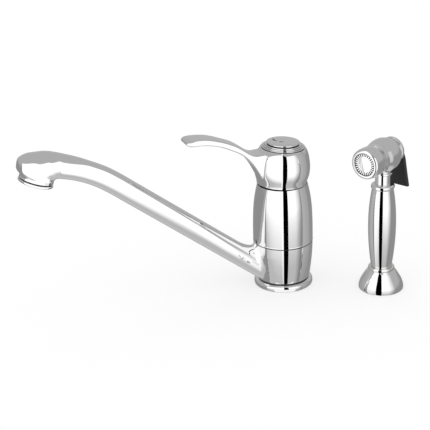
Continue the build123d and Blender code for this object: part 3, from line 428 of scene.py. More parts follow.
def addPiece(name, build, body, slot, *stoodFor, crease=32.0):
    bmesh.ops.recalc_face_normals(build, faces=build.faces)
    mesh = bpy.data.meshes.new(name)
    build.to_mesh(mesh)
    build.free()
    mesh.shade_smooth()
    mesh.set_sharp_from_angle(angle=radians(crease))
    mesh.materials.append(finishes[slot])
    piece = bpy.data.objects.new(name, mesh)
    bpy.context.scene.collection.objects.link(piece)
    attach(piece, body)
    if stoodFor:
        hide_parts(*stoodFor)
    return piece


# foot: rounded bead on the deck, with the gasket's groove in its underside
foot = {"radius": 26.0, "height": 5.8, "topRound": 3.4, "footRound": 1.3, "footTuck": 0.3, "sideRound": 0.6,
        "bore": 16.1, "gasketIn": 18.5, "gasketOut": 22.7, "gasketHeight": 1.6}
addPiece(
    "footBead",
    lathe(softCorners(
        (foot["bore"], 0.0), (foot["gasketIn"], 0.0), (foot["gasketIn"], foot["gasketHeight"]),
        (foot["gasketOut"], foot["gasketHeight"]), (foot["gasketOut"], 0.0),
        (foot["radius"] - foot["footTuck"], 0.0, foot["footRound"] / 2),
        (foot["radius"], foot["footRound"], foot["sideRound"]),
        (foot["radius"], foot["height"], foot["topRound"]), (foot["bore"], foot["height"]),
    )),
    "mixer_body", "chrome", "base_ring",
)

# black slip ring between the foot and the spout's hub
slip = {"bore": 22.0, "radius": 22.9, "lift": 0.02, "top": 7.1, "round": 0.2}
slipFoot = foot["height"] + slip["lift"]
addPiece(
    "slipRing",
    lathe(softCorners(
        (slip["bore"], slipFoot), (slip["radius"], slipFoot, slip["round"]),
        (slip["radius"], slip["top"], slip["round"]), (slip["bore"], slip["top"]),
    )),
    "mixer_body", "black_plastic",
)

# painted shade: a thin black sleeve behind the seam under the dome, round the core's neck and on its groove's
# floor, that darkens the gap
seamShade = {"neck": 14.4, "tuck": 0.05, "radius": 19.95, "thick": 0.06, "low": 88.3, "high": 94.0, "steps": 192}
seamShadeIn, seamShadeOut = seamShade["neck"] - seamShade["tuck"], seamShade["neck"] + seamShade["thick"]
seamShadeFloor = seamShade["low"] + seamShade["thick"]
addPiece(
    "seamShadeSleeve",
    lathe(straightLine(
        (seamShadeIn, seamShade["low"]), (seamShade["radius"], seamShade["low"]), (seamShade["radius"], seamShadeFloor),
        (seamShadeOut, seamShadeFloor), (seamShadeOut, seamShade["high"]), (seamShadeIn, seamShade["high"]),
    ), steps=seamShade["steps"]),
    "mixer_body", "black_plastic",
)
print("foot dressed")

# spout: the line of the tube, which its root, nose and lip share
tube = {"rise": radians(38.0), "rootHeight": 0.8, "radius": 9.45, "joint": 75.0}


def tubeSpot(along):
    # reach and height of the tube's middle
    return along * cos(tube["rise"]), tube["rootHeight"] + along * sin(tube["rise"])


# root: the casting's own hub and the foot of its tube, with the hub's flare made even
hub = {"low": 7.15, "high": 40.85, "footRadius": 23.2, "topRadius": 26.3, "flare": 1.9, "cutStep": 2.0,
       "blendHalf": 34.0, "blendEase": 26.0, "sideRadius": 22.5, "reach": 34.0, "wallIn": 22.4, "wallOut": 33.0,
       "margin": 0.1, "onWall": 0.12, "nearWall": 3.0, "shadeTuck": 0.3, "shadeMatch": 0.9}


def hubShare(height):
    return min(1.0, max(0.0, (height - hub["low"]) / (hub["high"] - hub["low"])))


def turnedShare(spot):
    # 0 in the blend towards the tube, 1 on the plainly turned wall
    spread = (degrees(atan2(abs(spot.y), -spot.x)) - hub["blendHalf"]) / hub["blendEase"]
    spread = min(1.0, max(0.0, spread))
    return spread * spread * (3 - 2 * spread)


def hubWall(build):
    # the casting's own radius at each of its heights, read on the side away from the tube
    found = {}
    for v in build.verts:
        if v.co.x > 0 and v.co.xy.length > hub["sideRadius"] * mm:
            height = round(v.co.z / mm, 2)
            found[height] = max(found.get(height, 0.0), v.co.xy.length / mm)
    return sorted(found.items())


def wallRadius(wall, height):
    for (lowZ, lowR), (highZ, highR) in zip(wall, wall[1:]):
        if height <= highZ:
            return lowR + (highR - lowR) * (max(height, lowZ) - lowZ) / (highZ - lowZ)
    return wall[-1][1]


def evenedRoot():
    build = bmesh.new()
    build.from_mesh(nodes["spout"].data)
    bmesh.ops.remove_doubles(build, verts=build.verts, dist=weldGap)
    reach, height = tubeSpot(tube["joint"])
    bmesh.ops.bisect_plane(
        build, geom=build.verts[:] + build.edges[:] + build.faces[:], dist=weldGap,
        plane_co=Vector((-reach, 0, height)) * mm, plane_no=(-cos(tube["rise"]), 0, sin(tube["rise"])),
        clear_outer=True,
    )
    bmesh.ops.bridge_loops(build, edges=[e for e in build.edges if e.is_boundary])
    wall = hubWall(build)
    cut = hub["low"] + hub["cutStep"]
    while cut < hub["high"]:
        faces = [f for f in build.faces if f.calc_center_median().xy.length < hub["reach"] * mm]
        geom = faces + list({e for f in faces for e in f.edges}) + list({v for f in faces for v in f.verts})
        bmesh.ops.bisect_plane(build, geom=geom, plane_co=(0, 0, cut * mm), plane_no=(0, 0, 1), dist=weldGap)
        cut += hub["cutStep"]
    for v in build.verts:
        height, radius = v.co.z / mm, v.co.xy.length / mm
        if not hub["wallIn"] < radius < hub["wallOut"]:
            continue
        if not hub["low"] - hub["margin"] < height < hub["high"] + hub["margin"]:
            continue
        was = wallRadius(wall, height)
        flared = 1 - (1 - hubShare(height)) ** hub["flare"]
        wanted = hub["footRadius"] + (hub["topRadius"] - hub["footRadius"]) * flared
        wanted = was + (wanted - was) * turnedShare(v.co)
        if abs(radius - was) < hub["onWall"]:
            radius = wanted
        elif was < radius < was + hub["nearWall"]:
            radius += wanted - was
        else:
            continue
        v.co.x, v.co.y = v.co.xy.normalized() * radius * mm
    return build


def turnedNormals(piece):
    # the hub's wall shades as the turned surface that it is, away from the blend
    mesh = piece.data
    corners = [Vector(c.vector) for c in mesh.corner_normals]
    steep = hub["flare"] * (hub["topRadius"] - hub["footRadius"]) / (hub["high"] - hub["low"])
    for face in mesh.polygons:
        for i in face.loop_indices:
            spot = mesh.vertices[mesh.loops[i].vertex_index].co
            radius = spot.xy.length
            if turnedShare(spot) < 1 or radius < (hub["footRadius"] - hub["shadeTuck"]) * mm:
                continue
            lean = steep * (1 - hubShare(spot.z / mm)) ** (hub["flare"] - 1)
            turned = Vector((spot.x / radius, spot.y / radius, -lean)).normalized()
            if turned.dot(face.normal) > hub["shadeMatch"]:
                corners[i] = turned
    mesh.normals_split_custom_set(corners)


# nose: bend is (slope, lift of the top line, half width), fan is (slope, reach from the turn's middle, half width)
nose = {"runs": (75.0, 95.0, 115.0, 135.0, 155.0, 173.0, 191.0), "bendRadius": 120.0, "footLift": 0.15,
        "bend": [(31.75, 0.0, 9.5), (25.5, -0.1, 9.7), (19.25, 0.7, 10.2), (13.0, 2.0, 10.9)],
        "turn": (200.1, 129.2), "inner": 1.9,
        "fan": [(1.5, 24.3, 11.6), (-9.0, 25.9, 12.2), (-20.4, 28.1, 12.9), (-37.1, 33.1, 13.9),
                (-52.1, 37.2, 14.4), (-63.8, 34.9, 14.5), (-70.5, 30.7, 14.1)],
        "tail": 2.2, "outlet": 13.9, "wall": 1.9, "steps": 8, "around": 72}


def steadyLine(keys, steps):
    # smooth run through the keys that never swings past them
    def slope(before, after):
        return 2 * before * after / (before + after) if before * after > 0 else 0.0

    gaps = [[b - a for a, b in zip(one, two)] for one, two in zip(keys, keys[1:])]
    slopes = [[slope(a, b) for a, b in zip(one, two)] for one, two in zip(gaps, gaps[1:])]
    slopes = [gaps[0]] + slopes + [gaps[-1]]
    line = []
    for i, (start, end) in enumerate(zip(keys, keys[1:])):
        for k in range(steps):
            line.append([smoothRun(*track, k / steps) for track in zip(start, end, slopes[i], slopes[i + 1])])
    return line + [list(keys[-1])]


def spoutSections(values):
    # each section: its top and bottom (reach, height) and its half width, in one smooth run
    keys = []
    rise = tube["rise"]

    def tubeKey(reach, height, a, lift, width):
        top, low = tube["radius"] + lift, tube["radius"] + lift * values["footLift"]
        keys.append((reach - top * sin(a), height + top * cos(a),
                     reach + low * sin(a), height - low * cos(a), width))

    for along in values["runs"]:
        tubeKey(*tubeSpot(along), rise, 0.0, tube["radius"])
    bendReach, bendHeight = tubeSpot(values["runs"][-1])
    for slope, lift, width in values["bend"]:
        a = radians(slope)
        tubeKey(bendReach + values["bendRadius"] * (sin(rise) - sin(a)),
                bendHeight + values["bendRadius"] * (cos(a) - cos(rise)), a, lift, width)
    turnX, turnZ = values["turn"]
    for slope, outer, width in values["fan"]:
        a = radians(slope)
        keys.append((turnX - outer * sin(a), turnZ + outer * cos(a),
                     turnX - values["inner"] * sin(a), turnZ + values["inner"] * cos(a), width))
    topX, topZ, lowX, lowZ, _ = keys[-1]
    tailX, tailZ = values["tail"] * cos(a), values["tail"] * sin(a)
    keys.append((topX + tailX, topZ + tailZ, lowX + tailX, lowZ + tailZ, values["outlet"]))
    return steadyLine(keys, values["steps"])


def sweptNose(values):
    build = bmesh.new()
    walls = []
    for inset in (0.0, values["wall"]):
        rings = []
        for topX, topZ, lowX, lowZ, width in spoutSections(values):
            top, low = Vector((-topX, 0, topZ)), Vector((-lowX, 0, lowZ))
            middle, half = (top + low) / 2, (top - low).length / 2
            up = (top - low).normalized()
            ring = []
            for k in range(values["around"]):
                turn = tau * k / values["around"]
                across = Vector((0, 1, 0)) * (width - inset) * sin(turn)
                ring.append(build.verts.new((middle + up * (half - inset) * cos(turn) + across) * mm))
            rings.append(ring)
        walls.append(rings)
    joinRings(build, walls[0] + walls[1][::-1])
    return build


# lip: a fuller blend between the tube's top and the hub, which rises outside the barrel's foot
lip = {"radius": 26.8, "top": 45.8, "reach": 47.0, "half": 15.0, "floor": 36.0, "thick": 0.4,
       "sink": 0.05, "sideSink": 1.2, "endSink": 0.3, "columns": 24, "rows": 16}


def tubeTop(reach, turn):
    # height of the tube's top at a reach, turned aside by an angle
    climb = tan(tube["rise"])
    across = min(tube["radius"], max(-tube["radius"], reach * sin(turn)))
    crown = sqrt(tube["radius"] ** 2 - across**2) / cos(tube["rise"])
    return tube["rootHeight"] + climb * reach * cos(turn) + crown


def rootLip(values):
    build = bmesh.new()
    upper, lower = [], []
    start, end = values["radius"], values["reach"]
    endTop = tubeTop(end, 0.0)
    bowTop = endTop - tan(tube["rise"]) * (end - start)
    for i in range(values["columns"] + 1):
        side = 2 * i / values["columns"] - 1
        turn = radians(values["half"]) * side
        fullness = (1 - side * side) ** 2
        up, down = [], []
        for k in range(values["rows"] + 1):
            t = k / values["rows"]
            reach = (1 - t * t) * start + t * t * end
            full = (1 - t) ** 2 * values["top"] + 2 * t * (1 - t) * bowTop + t * t * endTop
            height = tubeTop(reach, turn) + (full - tubeTop(reach, 0.0)) * fullness
            height -= values["sink"] + values["sideSink"] * side**4 + values["endSink"] * t**4
            below = min(height - values["thick"], values["floor"] + reach - start)
            x, y = -reach * cos(turn), reach * sin(turn)
            up.append(build.verts.new(Vector((x, y, height)) * mm))
            down.append(build.verts.new(Vector((x, y, below)) * mm))
        upper.append(up)
        lower.append(down)
    joinPlates(build, upper, lower)
    return build


spoutRoot = addPiece("spoutRoot", evenedRoot(), "swivel_spout", "chrome", "spout")
turnedNormals(spoutRoot)
addPiece("spoutNose", sweptNose(nose), "swivel_spout", "chrome", "spout", crease=50.0)
addPiece("rootLip", rootLip(lip), "swivel_spout", "chrome", crease=60.0)
print("spout smoothed")

# cap on the dome: three fine steps, with painted shade as thin black rings under the ring, in the steps' corners
# and under the button
cap = {"foot": 127.5, "undercut": 0.45, "undercutRound": 0.15, "stepRadii": (18.9, 17.4, 16.0), "stepHeight": 1.0,
       "stepRound": 0.42, "bore": 12.0, "spigot": 13.4, "recess": 125.0, "shadeRingInset": 0.7, "shadeRingShow": 0.12,
       "shadeRingSink": 0.02, "stepSink": 0.03, "pivot": 109.0, "standsOpen": 3.0,
       "stepShade": [(-0.1, 0.0), (0.16, 0.0), (0.16, 0.08), (0.05, 0.2), (-0.1, 0.2)]}
pivot = Vector((0, 0, cap["pivot"] * mm))
openTurn = Matrix.Rotation(radians(cap["standsOpen"]), 4, "Y")
asOpened = Matrix.Translation(pivot) @ openTurn @ Matrix.Translation(-pivot)
capTop = cap["foot"] + len(cap["stepRadii"]) * cap["stepHeight"]
shadeRingIn, shadeRingOut = cap["stepRadii"][0] - cap["shadeRingInset"], cap["stepRadii"][0] - cap["shadeRingShow"]
shadeRingLow, shadeRingTop = cap["foot"] - cap["shadeRingSink"], cap["foot"] + cap["undercut"]
stepLine = [(cap["bore"], cap["recess"]), (cap["spigot"], cap["recess"]), (cap["spigot"], cap["foot"]),
            (shadeRingIn, cap["foot"]), (shadeRingIn, shadeRingTop)]
for i, radius in enumerate(cap["stepRadii"]):
    stepFoot, stepTop = cap["foot"] + i * cap["stepHeight"], cap["foot"] + (i + 1) * cap["stepHeight"]
    if i == 0:
        topRound = cap["stepRound"] - cap["undercutRound"]
        stepLine += [(radius, shadeRingTop, cap["undercutRound"]), (radius, stepTop, topRound)]
    else:
        stepLine += [(radius, stepFoot), (radius, stepTop, cap["stepRound"])]
stepLine.append((cap["bore"], capTop))
addPiece("capSteps", lathe(softCorners(*stepLine), asOpened), "lever", "chrome", "cap_ring")
# a thin black ring in the undercut under the cap ring: painted shade
addPiece("capShadeRing", flatRing(shadeRingIn, shadeRingOut, shadeRingLow, shadeRingTop, asOpened), "lever", "rubber")
# thin black rings in the steps' inner corners: painted shade in the creases
for i, name in enumerate(("stepSealA", "stepSealB"), 1):
    radius, low = cap["stepRadii"][i], cap["foot"] + i * cap["stepHeight"] - cap["stepSink"]
    stepShadeLine = straightLine(*((radius + out, low + up) for out, up in cap["stepShade"]))
    addPiece(name, lathe(stepShadeLine, asOpened), "lever", "rubber")

# button: a low dome over a thin black ring that paints the shade in the gap under it, hollow over the screw
button = {"radius": 14.4, "gap": 0.75, "height": 1.0, "crown": 0.45, "footRound": 0.2, "edgeRound": 0.45,
          "crownShare": 0.72, "crownDrop": 0.16, "innerShare": 0.36, "innerDrop": 0.03,
          "stem": 11.9, "hollow": 5.2, "hollowTop": 128.9, "shadeRingIn": 0.1, "shadeRingShow": 0.35}
buttonFoot = capTop + button["gap"]
buttonEdge = buttonFoot + button["height"]
buttonTop = buttonEdge + button["crown"]
shadeRingIn, shadeRingOut = button["stem"] + button["shadeRingIn"], button["radius"] - button["shadeRingShow"]
addPiece("buttonShadeRing", flatRing(shadeRingIn, shadeRingOut, capTop, buttonFoot, asOpened), "lever", "rubber")
addPiece(
    "capButton",
    lathe(softCorners(
        (0.0, buttonTop), (0.0, button["hollowTop"]), (button["hollow"], button["hollowTop"]),
        (button["hollow"], cap["recess"]), (button["stem"], cap["recess"]), (button["stem"], buttonFoot),
        (button["radius"], buttonFoot, button["footRound"]), (button["radius"], buttonEdge, button["edgeRound"]),
        (button["radius"] * button["crownShare"], buttonTop - button["crownDrop"]),
        (button["radius"] * button["innerShare"], buttonTop - button["innerDrop"]),
    ), asOpened),
    "lever", "index_cap", "index_button",
)

# hot and cold marks on the button: thin dark strokes let in near its front
marks = {"hotStroke": [(-5.9, 8.6), (-6.6, 5.0), (-5.6, 0.9)], "coldStroke": [(-4.4, -1.3), (-0.9, -3.0)],
         "width": 0.8, "tip": 0.06, "thick": 0.16, "proud": 0.03, "steps": 5}


def crownAt(spot):
    # height of the button's top at a place
    return buttonTop - button["crownDrop"] * spot.length_squared / (button["radius"] * button["crownShare"]) ** 2


def stroke(points, values):
    line = flowLine(points, values["steps"])
    build = bmesh.new()
    rows = []
    for i, here in enumerate(line):
        ahead = (line[min(i + 1, len(line) - 1)] - line[max(i - 1, 0)]).normalized()
        share = i / (len(line) - 1)
        half = values["width"] * sqrt(max(values["tip"], 1 - (2 * share - 1) ** 4))
        side = Vector((-ahead.y, ahead.x)) * half
        row = []
        for edge, depth in ((side, values["thick"]), (side, 0.0), (-side, 0.0), (-side, values["thick"])):
            spot = here + edge
            height = crownAt(spot) + values["proud"] - depth
            row.append(build.verts.new(asOpened @ (Vector((spot.x, spot.y, height)) * mm)))
        rows.append(row)
    for a, b in zip(rows, rows[1:]):
        for k in range(4):
            build.faces.new((a[k], a[(k + 1) % 4], b[(k + 1) % 4], b[k]))
    build.faces.new(rows[0])
    build.faces.new(rows[-1])
    return build


addPiece("hotMark", stroke(marks["hotStroke"], marks), "lever", "black_plastic")
addPiece("coldMark", stroke(marks["coldStroke"], marks), "lever", "black_plastic")
print("cap dressed")

# hand spray: its upright axis, and the head's axis pointing out of the nozzle
spray = {"distance": 87.3, "bearing": radians(-32.6), "nozzleBearing": radians(209.0), "headHeight": 124.6,
         "ballDrop": 1.1}
sprayFoot = Vector((spray["distance"] * cos(spray["bearing"]), spray["distance"] * sin(spray["bearing"]), 0))
sprayStand = Matrix.Translation(sprayFoot * mm)
headFront = Vector((cos(spray["nozzleBearing"]), sin(spray["nozzleBearing"]), 0))
headSide = headFront.cross(Vector((0, 0, 1)))
headTurn = Matrix((headSide, Vector((0, 0, 1)), headFront)).transposed().to_4x4()
headAxis = Matrix.Translation((sprayFoot + Vector((0, 0, spray["headHeight"]))) * mm) @ headTurn
ballAxis = Matrix.Translation((0, 0, -spray["ballDrop"] * mm)) @ headAxis


def drilled(build, cutters):
    # the mesh with the cutters' holes in it
    parts = []
    for one in [build] + cutters:
        bmesh.ops.recalc_face_normals(one, faces=one.faces)
        mesh = bpy.data.meshes.new("drillWork")
        one.to_mesh(mesh)
        one.free()
        parts.append(bpy.data.objects.new("drillWork", mesh))
        bpy.context.scene.collection.objects.link(parts[-1])
    for cutter in parts[1:]:
        step = parts[0].modifiers.new("drill", "BOOLEAN")
        step.operation = "DIFFERENCE"
        step.object = cutter
    bpy.context.view_layer.update()
    done = bpy.data.meshes.new_from_object(parts[0].evaluated_get(bpy.context.evaluated_depsgraph_get()))
    result = bmesh.new()
    result.from_mesh(done)
    for part in parts:
        bpy.data.objects.remove(part)
    return result


# head: a ball a little lower than the solid one, with the neck's socket and the plunger's hole
ball = {"line": [(10.4, -11.6), (13.0, -8.3), (14.8, -3.6), (15.2, 0.6), (14.6, 5.2), (13.0, 9.75)], "steps": 8,
        "socket": 6.8, "socketFrom": 100.0, "socketTo": 113.0, "socketSteps": 48,
        "plunger": 1.8, "plungerFrom": -16.0, "plungerTo": -4.0, "plungerSteps": 32}
plungerLow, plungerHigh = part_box("valve_plunger")
plungerMiddle = (Vector(plungerLow) + Vector(plungerHigh)) / 2 / mm
plungerAxis = Matrix.Translation((0, 0, (plungerMiddle.z - spray["headHeight"]) * mm)) @ headAxis
ballLine = flowLine(ball["line"], ball["steps"])
ballSolid = lathe([Vector((0.0, ballLine[0].y))] + ballLine + [Vector((0.0, ballLine[-1].y))], ballAxis)
socketHole = roundBar(ball["socket"], ball["socketFrom"], ball["socketTo"], sprayStand, ball["socketSteps"])
plungerHole = roundBar(ball["plunger"], ball["plungerFrom"], ball["plungerTo"], plungerAxis, ball["plungerSteps"])
addPiece("headBall", drilled(ballSolid, [socketHole, plungerHole]), "side_spray", "chrome", "spray_head")

# nozzle's collar: a plain band, then grooves with thin black rings in them that paint the shade in the grooves
collar = {"back": 9.8, "length": 4.2, "radius": 13.1, "edge": 0.3, "pitch": 1.35, "depth": 0.8, "step": 0.05,
          "land": 0.2, "grooveFrom": 0.1, "grooveTo": 0.55, "grooveEnd": 0.65,
          "shadeRingIn": 0.1, "shadeRingOut": 0.3, "shadeRingFrom": 0.12, "shadeRingTo": 0.53}
grooveFloor = collar["radius"] - collar["depth"]
shadeRingIn, shadeRingOut = grooveFloor - collar["shadeRingIn"], grooveFloor + collar["shadeRingOut"]
grooveLine = [(0.0, collar["back"]), (collar["radius"], collar["back"], collar["edge"])]
along = collar["back"] + collar["length"]
for i, name in enumerate(("grooveSealA", "grooveSealB", "grooveSealC")):
    grooveLine += [
        (collar["radius"] - collar["step"] * i, along, collar["land"]), (grooveFloor, along + collar["grooveFrom"]),
        (grooveFloor, along + collar["grooveTo"]), (collar["radius"], along + collar["grooveEnd"], collar["land"]),
    ]
    low, high = along + collar["shadeRingFrom"], along + collar["shadeRingTo"]
    addPiece(name, flatRing(shadeRingIn, shadeRingOut, low, high, ballAxis), "side_spray", "rubber")
    along += collar["pitch"]
shellBack = along
grooveLine += [(collar["radius"], shellBack), (0.0, shellBack)]
addPiece("nozzleCollar", lathe(softCorners(*grooveLine), ballAxis), "side_spray", "chrome", "nozzle_band")

# nozzle's shell with its rounded rim, and a black disc in its mouth that paints the shade behind the rose's slots
shell = {"front": 29.4, "radius": 13.3, "backRound": 0.2, "shoulder": 1.2, "shoulderRound": 1.0, "swell": 0.1,
         "swellBack": 4.5, "rimTuck": 0.5, "rimRound": 2.4, "mouth": 9.95, "mouthRound": 0.7, "mouthDepth": 0.9,
         "recessRadius": 9.7, "shadeDiscThick": 0.3, "roseThick": 1.0}
recessFloor = shell["front"] - shell["mouthDepth"] - shell["roseThick"]
addPiece(
    "nozzleShell",
    lathe(softCorners(
        (0.0, shellBack), (collar["radius"], shellBack, shell["backRound"]),
        (shell["radius"], shellBack + shell["shoulder"], shell["shoulderRound"]),
        (shell["radius"] + shell["swell"], shell["front"] - shell["swellBack"]),
        (shell["radius"] - shell["rimTuck"], shell["front"], shell["rimRound"]),
        (shell["mouth"], shell["front"], shell["mouthRound"]),
        (shell["recessRadius"], shell["front"] - shell["mouthDepth"]), (shell["recessRadius"], recessFloor), (0.0, recessFloor),
    ), ballAxis),
    "side_spray", "chrome", "nozzle_shell",
)
roseShadeDisc = roundBar(shell["recessRadius"], recessFloor, recessFloor + shell["shadeDiscThick"], ballAxis)
addPiece("roseShadeDisc", roseShadeDisc, "side_spray", "rubber")

# rose: a toothed disc whose slots run in from its edge, with a low crown
rose = {"radius": 9.3, "inner": 7.0, "slots": 28, "slotShare": 0.5, "foot": shell["shadeDiscThick"],
        "thick": shell["roseThick"], "coreShare": 0.97, "coreRise": 0.12, "crown": 0.45}


def slottedRose(values, face):
    build = bmesh.new()
    outline = []
    pitch = tau / values["slots"]
    for i in range(values["slots"]):
        for share in (0.0, 0.5, 1.0):
            outline.append((values["radius"], (i + share * (1 - values["slotShare"])) * pitch))
        for share in (0.0, 0.5, 1.0):
            outline.append((values["inner"], (i + 1 - values["slotShare"] * (1 - share)) * pitch))
    low, high = face + values["foot"], face + values["thick"]

    def loop(places, height):
        return [build.verts.new(ballAxis @ (Vector((r * cos(a), r * sin(a), height)) * mm)) for r, a in places]

    top, under = loop(outline, high), loop(outline, low)
    core = loop([(values["inner"] * values["coreShare"], a) for _, a in outline], high + values["coreRise"])
    middle = build.verts.new(ballAxis @ (Vector((0, 0, high + values["crown"])) * mm))
    for k in range(len(outline)):
        n = (k + 1) % len(outline)
        build.faces.new((under[k], under[n], top[n], top[k]))
        build.faces.new((top[k], top[n], core[n], core[k]))
        build.faces.new((core[k], core[n], middle))
    build.faces.new(under)
    return build


addPiece("slottedRose", slottedRose(rose, recessFloor), "side_spray", "index_cap", "spray_plate")

# ring round the rear cap, which hides the top of the trigger
rearRing = {"bore": 10.65, "radius": 11.7, "front": -11.65, "back": -15.2, "frontRound": 0.6, "backRound": 1.3,
            "boreRound": 0.3}
addPiece(
    "rearRing",
    lathe(softCorners(
        (rearRing["bore"], rearRing["front"]), (rearRing["radius"], rearRing["front"], rearRing["frontRound"]),
        (rearRing["radius"], rearRing["back"], rearRing["backRound"]),
        (rearRing["bore"], rearRing["back"], rearRing["boreRound"]),
    ), headAxis),
    "side_spray", "chrome",
)
print("head and nozzle dressed")

# trigger: a dished plate that widens to its foot, with a tongue into the cap's slot
trigger = {"line": [(17.2, 131.5), (17.9, 118.0), (19.1, 105.0), (21.1, 90.4)], "steps": 6, "columns": 12,
           "widths": [(131.5, 3.4), (127.0, 5.6), (122.0, 7.8), (116.5, 9.5), (105.0, 10.6), (90.4, 11.9)],
           "thick": 3.0, "edgeAngle": 50.0, "edgeRound": 0.8, "edgeSteps": 3,
           "tongueHalf": 2.4, "tongueLow": 129.3, "tongueHigh": 131.0, "tongueIn": 14.9, "tongueOut": 18.4}


def widthAt(height, table):
    for (highZ, highW), (lowZ, lowW) in zip(table, table[1:]):
        if height >= lowZ:
            return lowW + (highW - lowW) * (height - lowZ) / (highZ - lowZ)
    return table[-1][1]


def behindSpray(side, back, height):
    # place to the side of the spray's axis and behind it
    return sprayStand @ ((headSide * side - headFront * back + Vector((0, 0, height))) * mm)


def triggerMesh(values):
    build = bmesh.new()
    plates = []
    for offset in (0.0, values["thick"]):
        rows = []
        for back, height in flowLine(values["line"], values["steps"]):
            half = widthAt(height, values["widths"])
            sides = [half * (2 * k / values["columns"] - 1) for k in range(values["columns"] + 1)]
            rows.append([build.verts.new(behindSpray(side, back + offset, height)) for side in sides])
        plates.append(rows)
    joinPlates(build, *plates)
    bmesh.ops.recalc_face_normals(build, faces=build.faces)
    edgeAngle = radians(values["edgeAngle"])
    rim = [e for e in build.edges if len(e.link_faces) == 2 and e.calc_face_angle() > edgeAngle]
    bmesh.ops.bevel(build, geom=rim, offset=values["edgeRound"] * mm, segments=values["edgeSteps"],
                    profile=0.5, affect="EDGES")
    for v in bmesh.ops.create_cube(build, size=1.0)["verts"]:
        back = values["tongueIn"] if v.co.x < 0 else values["tongueOut"]
        height = values["tongueLow"] if v.co.z < 0 else values["tongueHigh"]
        v.co = behindSpray(values["tongueHalf"] * (1 if v.co.y > 0 else -1), back, height)
    return build


addPiece("triggerPlate", triggerMesh(trigger), "spray_trigger", slotOf["trigger"], "trigger")
print("trigger dressed")

# shank under the deck, threaded up to a plain length
shank = {"radius": 16.0, "depth": 0.8, "pitch": 1.5, "bore": 13.0, "low": -48.0, "high": 14.8, "plain": -3.0}
addPiece("deckThread", threadedTube(shank), "mixer_body", slotOf["deck_shank"], "deck_shank", crease=24.0)

# spray's holder: a cone with the gasket's groove in its underside, on a threaded shank
holder = {"foot": [(19.1, 0.0), (19.5, 0.35), (19.65, 1.2)],
          "line": [(19.6, 2.4), (19.2, 4.6), (17.8, 8.2), (15.6, 12.1), (13.1, 16.0), (11.3, 18.2)],
          "bore": 9.2, "gasketIn": 14.5, "gasketOut": 17.7, "gasketHeight": 1.6}
holderUnder = straightLine(
    (holder["bore"], 0.0), (holder["gasketIn"], 0.0), (holder["gasketIn"], holder["gasketHeight"]),
    (holder["gasketOut"], holder["gasketHeight"]), (holder["gasketOut"], 0.0), *holder["foot"],
)
holderLine = flowLine(holder["line"])
addPiece(
    "holderCone",
    lathe(holderUnder + holderLine + [Vector((holder["bore"], holderLine[-1].y))], sprayStand),
    "mixer_body", "chrome", "spray_holder",
)
holderShank = {"radius": 13.5, "depth": 0.7, "pitch": 1.5, "bore": 9.2, "low": -42.0, "high": -0.02}
holderThread = threadedTube(holderShank, sprayStand)
addPiece("holderThread", holderThread, "mixer_body", slotOf["spray_holder"], "spray_holder", crease=24.0)
print("threads cut")

# studio: a white floor that keeps the shadow, a white room, and cards that only the metal sees
studio = {
    "floorHalf": 3.0,
    "floorShade": 0.45,
    "floorGlow": 0.56,
    "roomLight": 1.0,
    "heading": -20.0,
    "upperGrey": 0.47,
    "lowerGrey": 0.30,
    "underGrey": 0.58,
    "rearLight": 0.50,
    "horizonFade": (-0.12, 0.2),
    "underFade": (-0.65, -0.82),
    "rearFade": (0.86, 0.95),
}
# the cards' light falls off towards their feet: height, share
cardFade = [(-2.0, 0.42), (-0.14, 0.45), (-0.075, 0.55), (-0.02, 0.78), (0.03, 1.0)]
# each card: left and right end (across, ahead), foot and top height, light at the left and right end
cards = {
    "postCard": ((-0.0023, 0.162), (0.073, 0.243), -2.0, 0.275, 0.0, 0.0),
    "finCard": ((-0.004, 0.045), (-0.0023, 0.162), -2.0, 0.275, 1.2, 1.2),
    "rimCard": ((-0.445, 0.162), (-0.420, 0.162), -2.0, 0.30, 0.02, 0.02),
    "leftCard": ((-0.420, 0.162), (-0.0023, 0.162), -2.0, 0.275, 1.2, 1.2),
    "rightCard": ((0.073, 0.243), (0.200, 0.190), -2.0, 0.29, 1.2, 1.2),
    "rightFadeCard": ((0.200, 0.190), (0.330, 0.120), -2.0, 0.30, 1.2, 0.45),
    "baseCard": ((-0.0125, 0.0275), (0.0125, 0.0275), -0.012, 0.0026, 1.2, 1.2),
    "screenCard": ((0.052, 0.027), (0.052, -0.004), -0.10, 0.17, 0.5, 0.38),
}


def makeMesh(name, verts, faces, material):
    mesh = bpy.data.meshes.new(name)
    mesh.from_pydata(verts, [], faces)
    mesh.materials.append(material)
    thing = bpy.data.objects.new(name, mesh)
    bpy.context.scene.collection.objects.link(thing)
    return thing


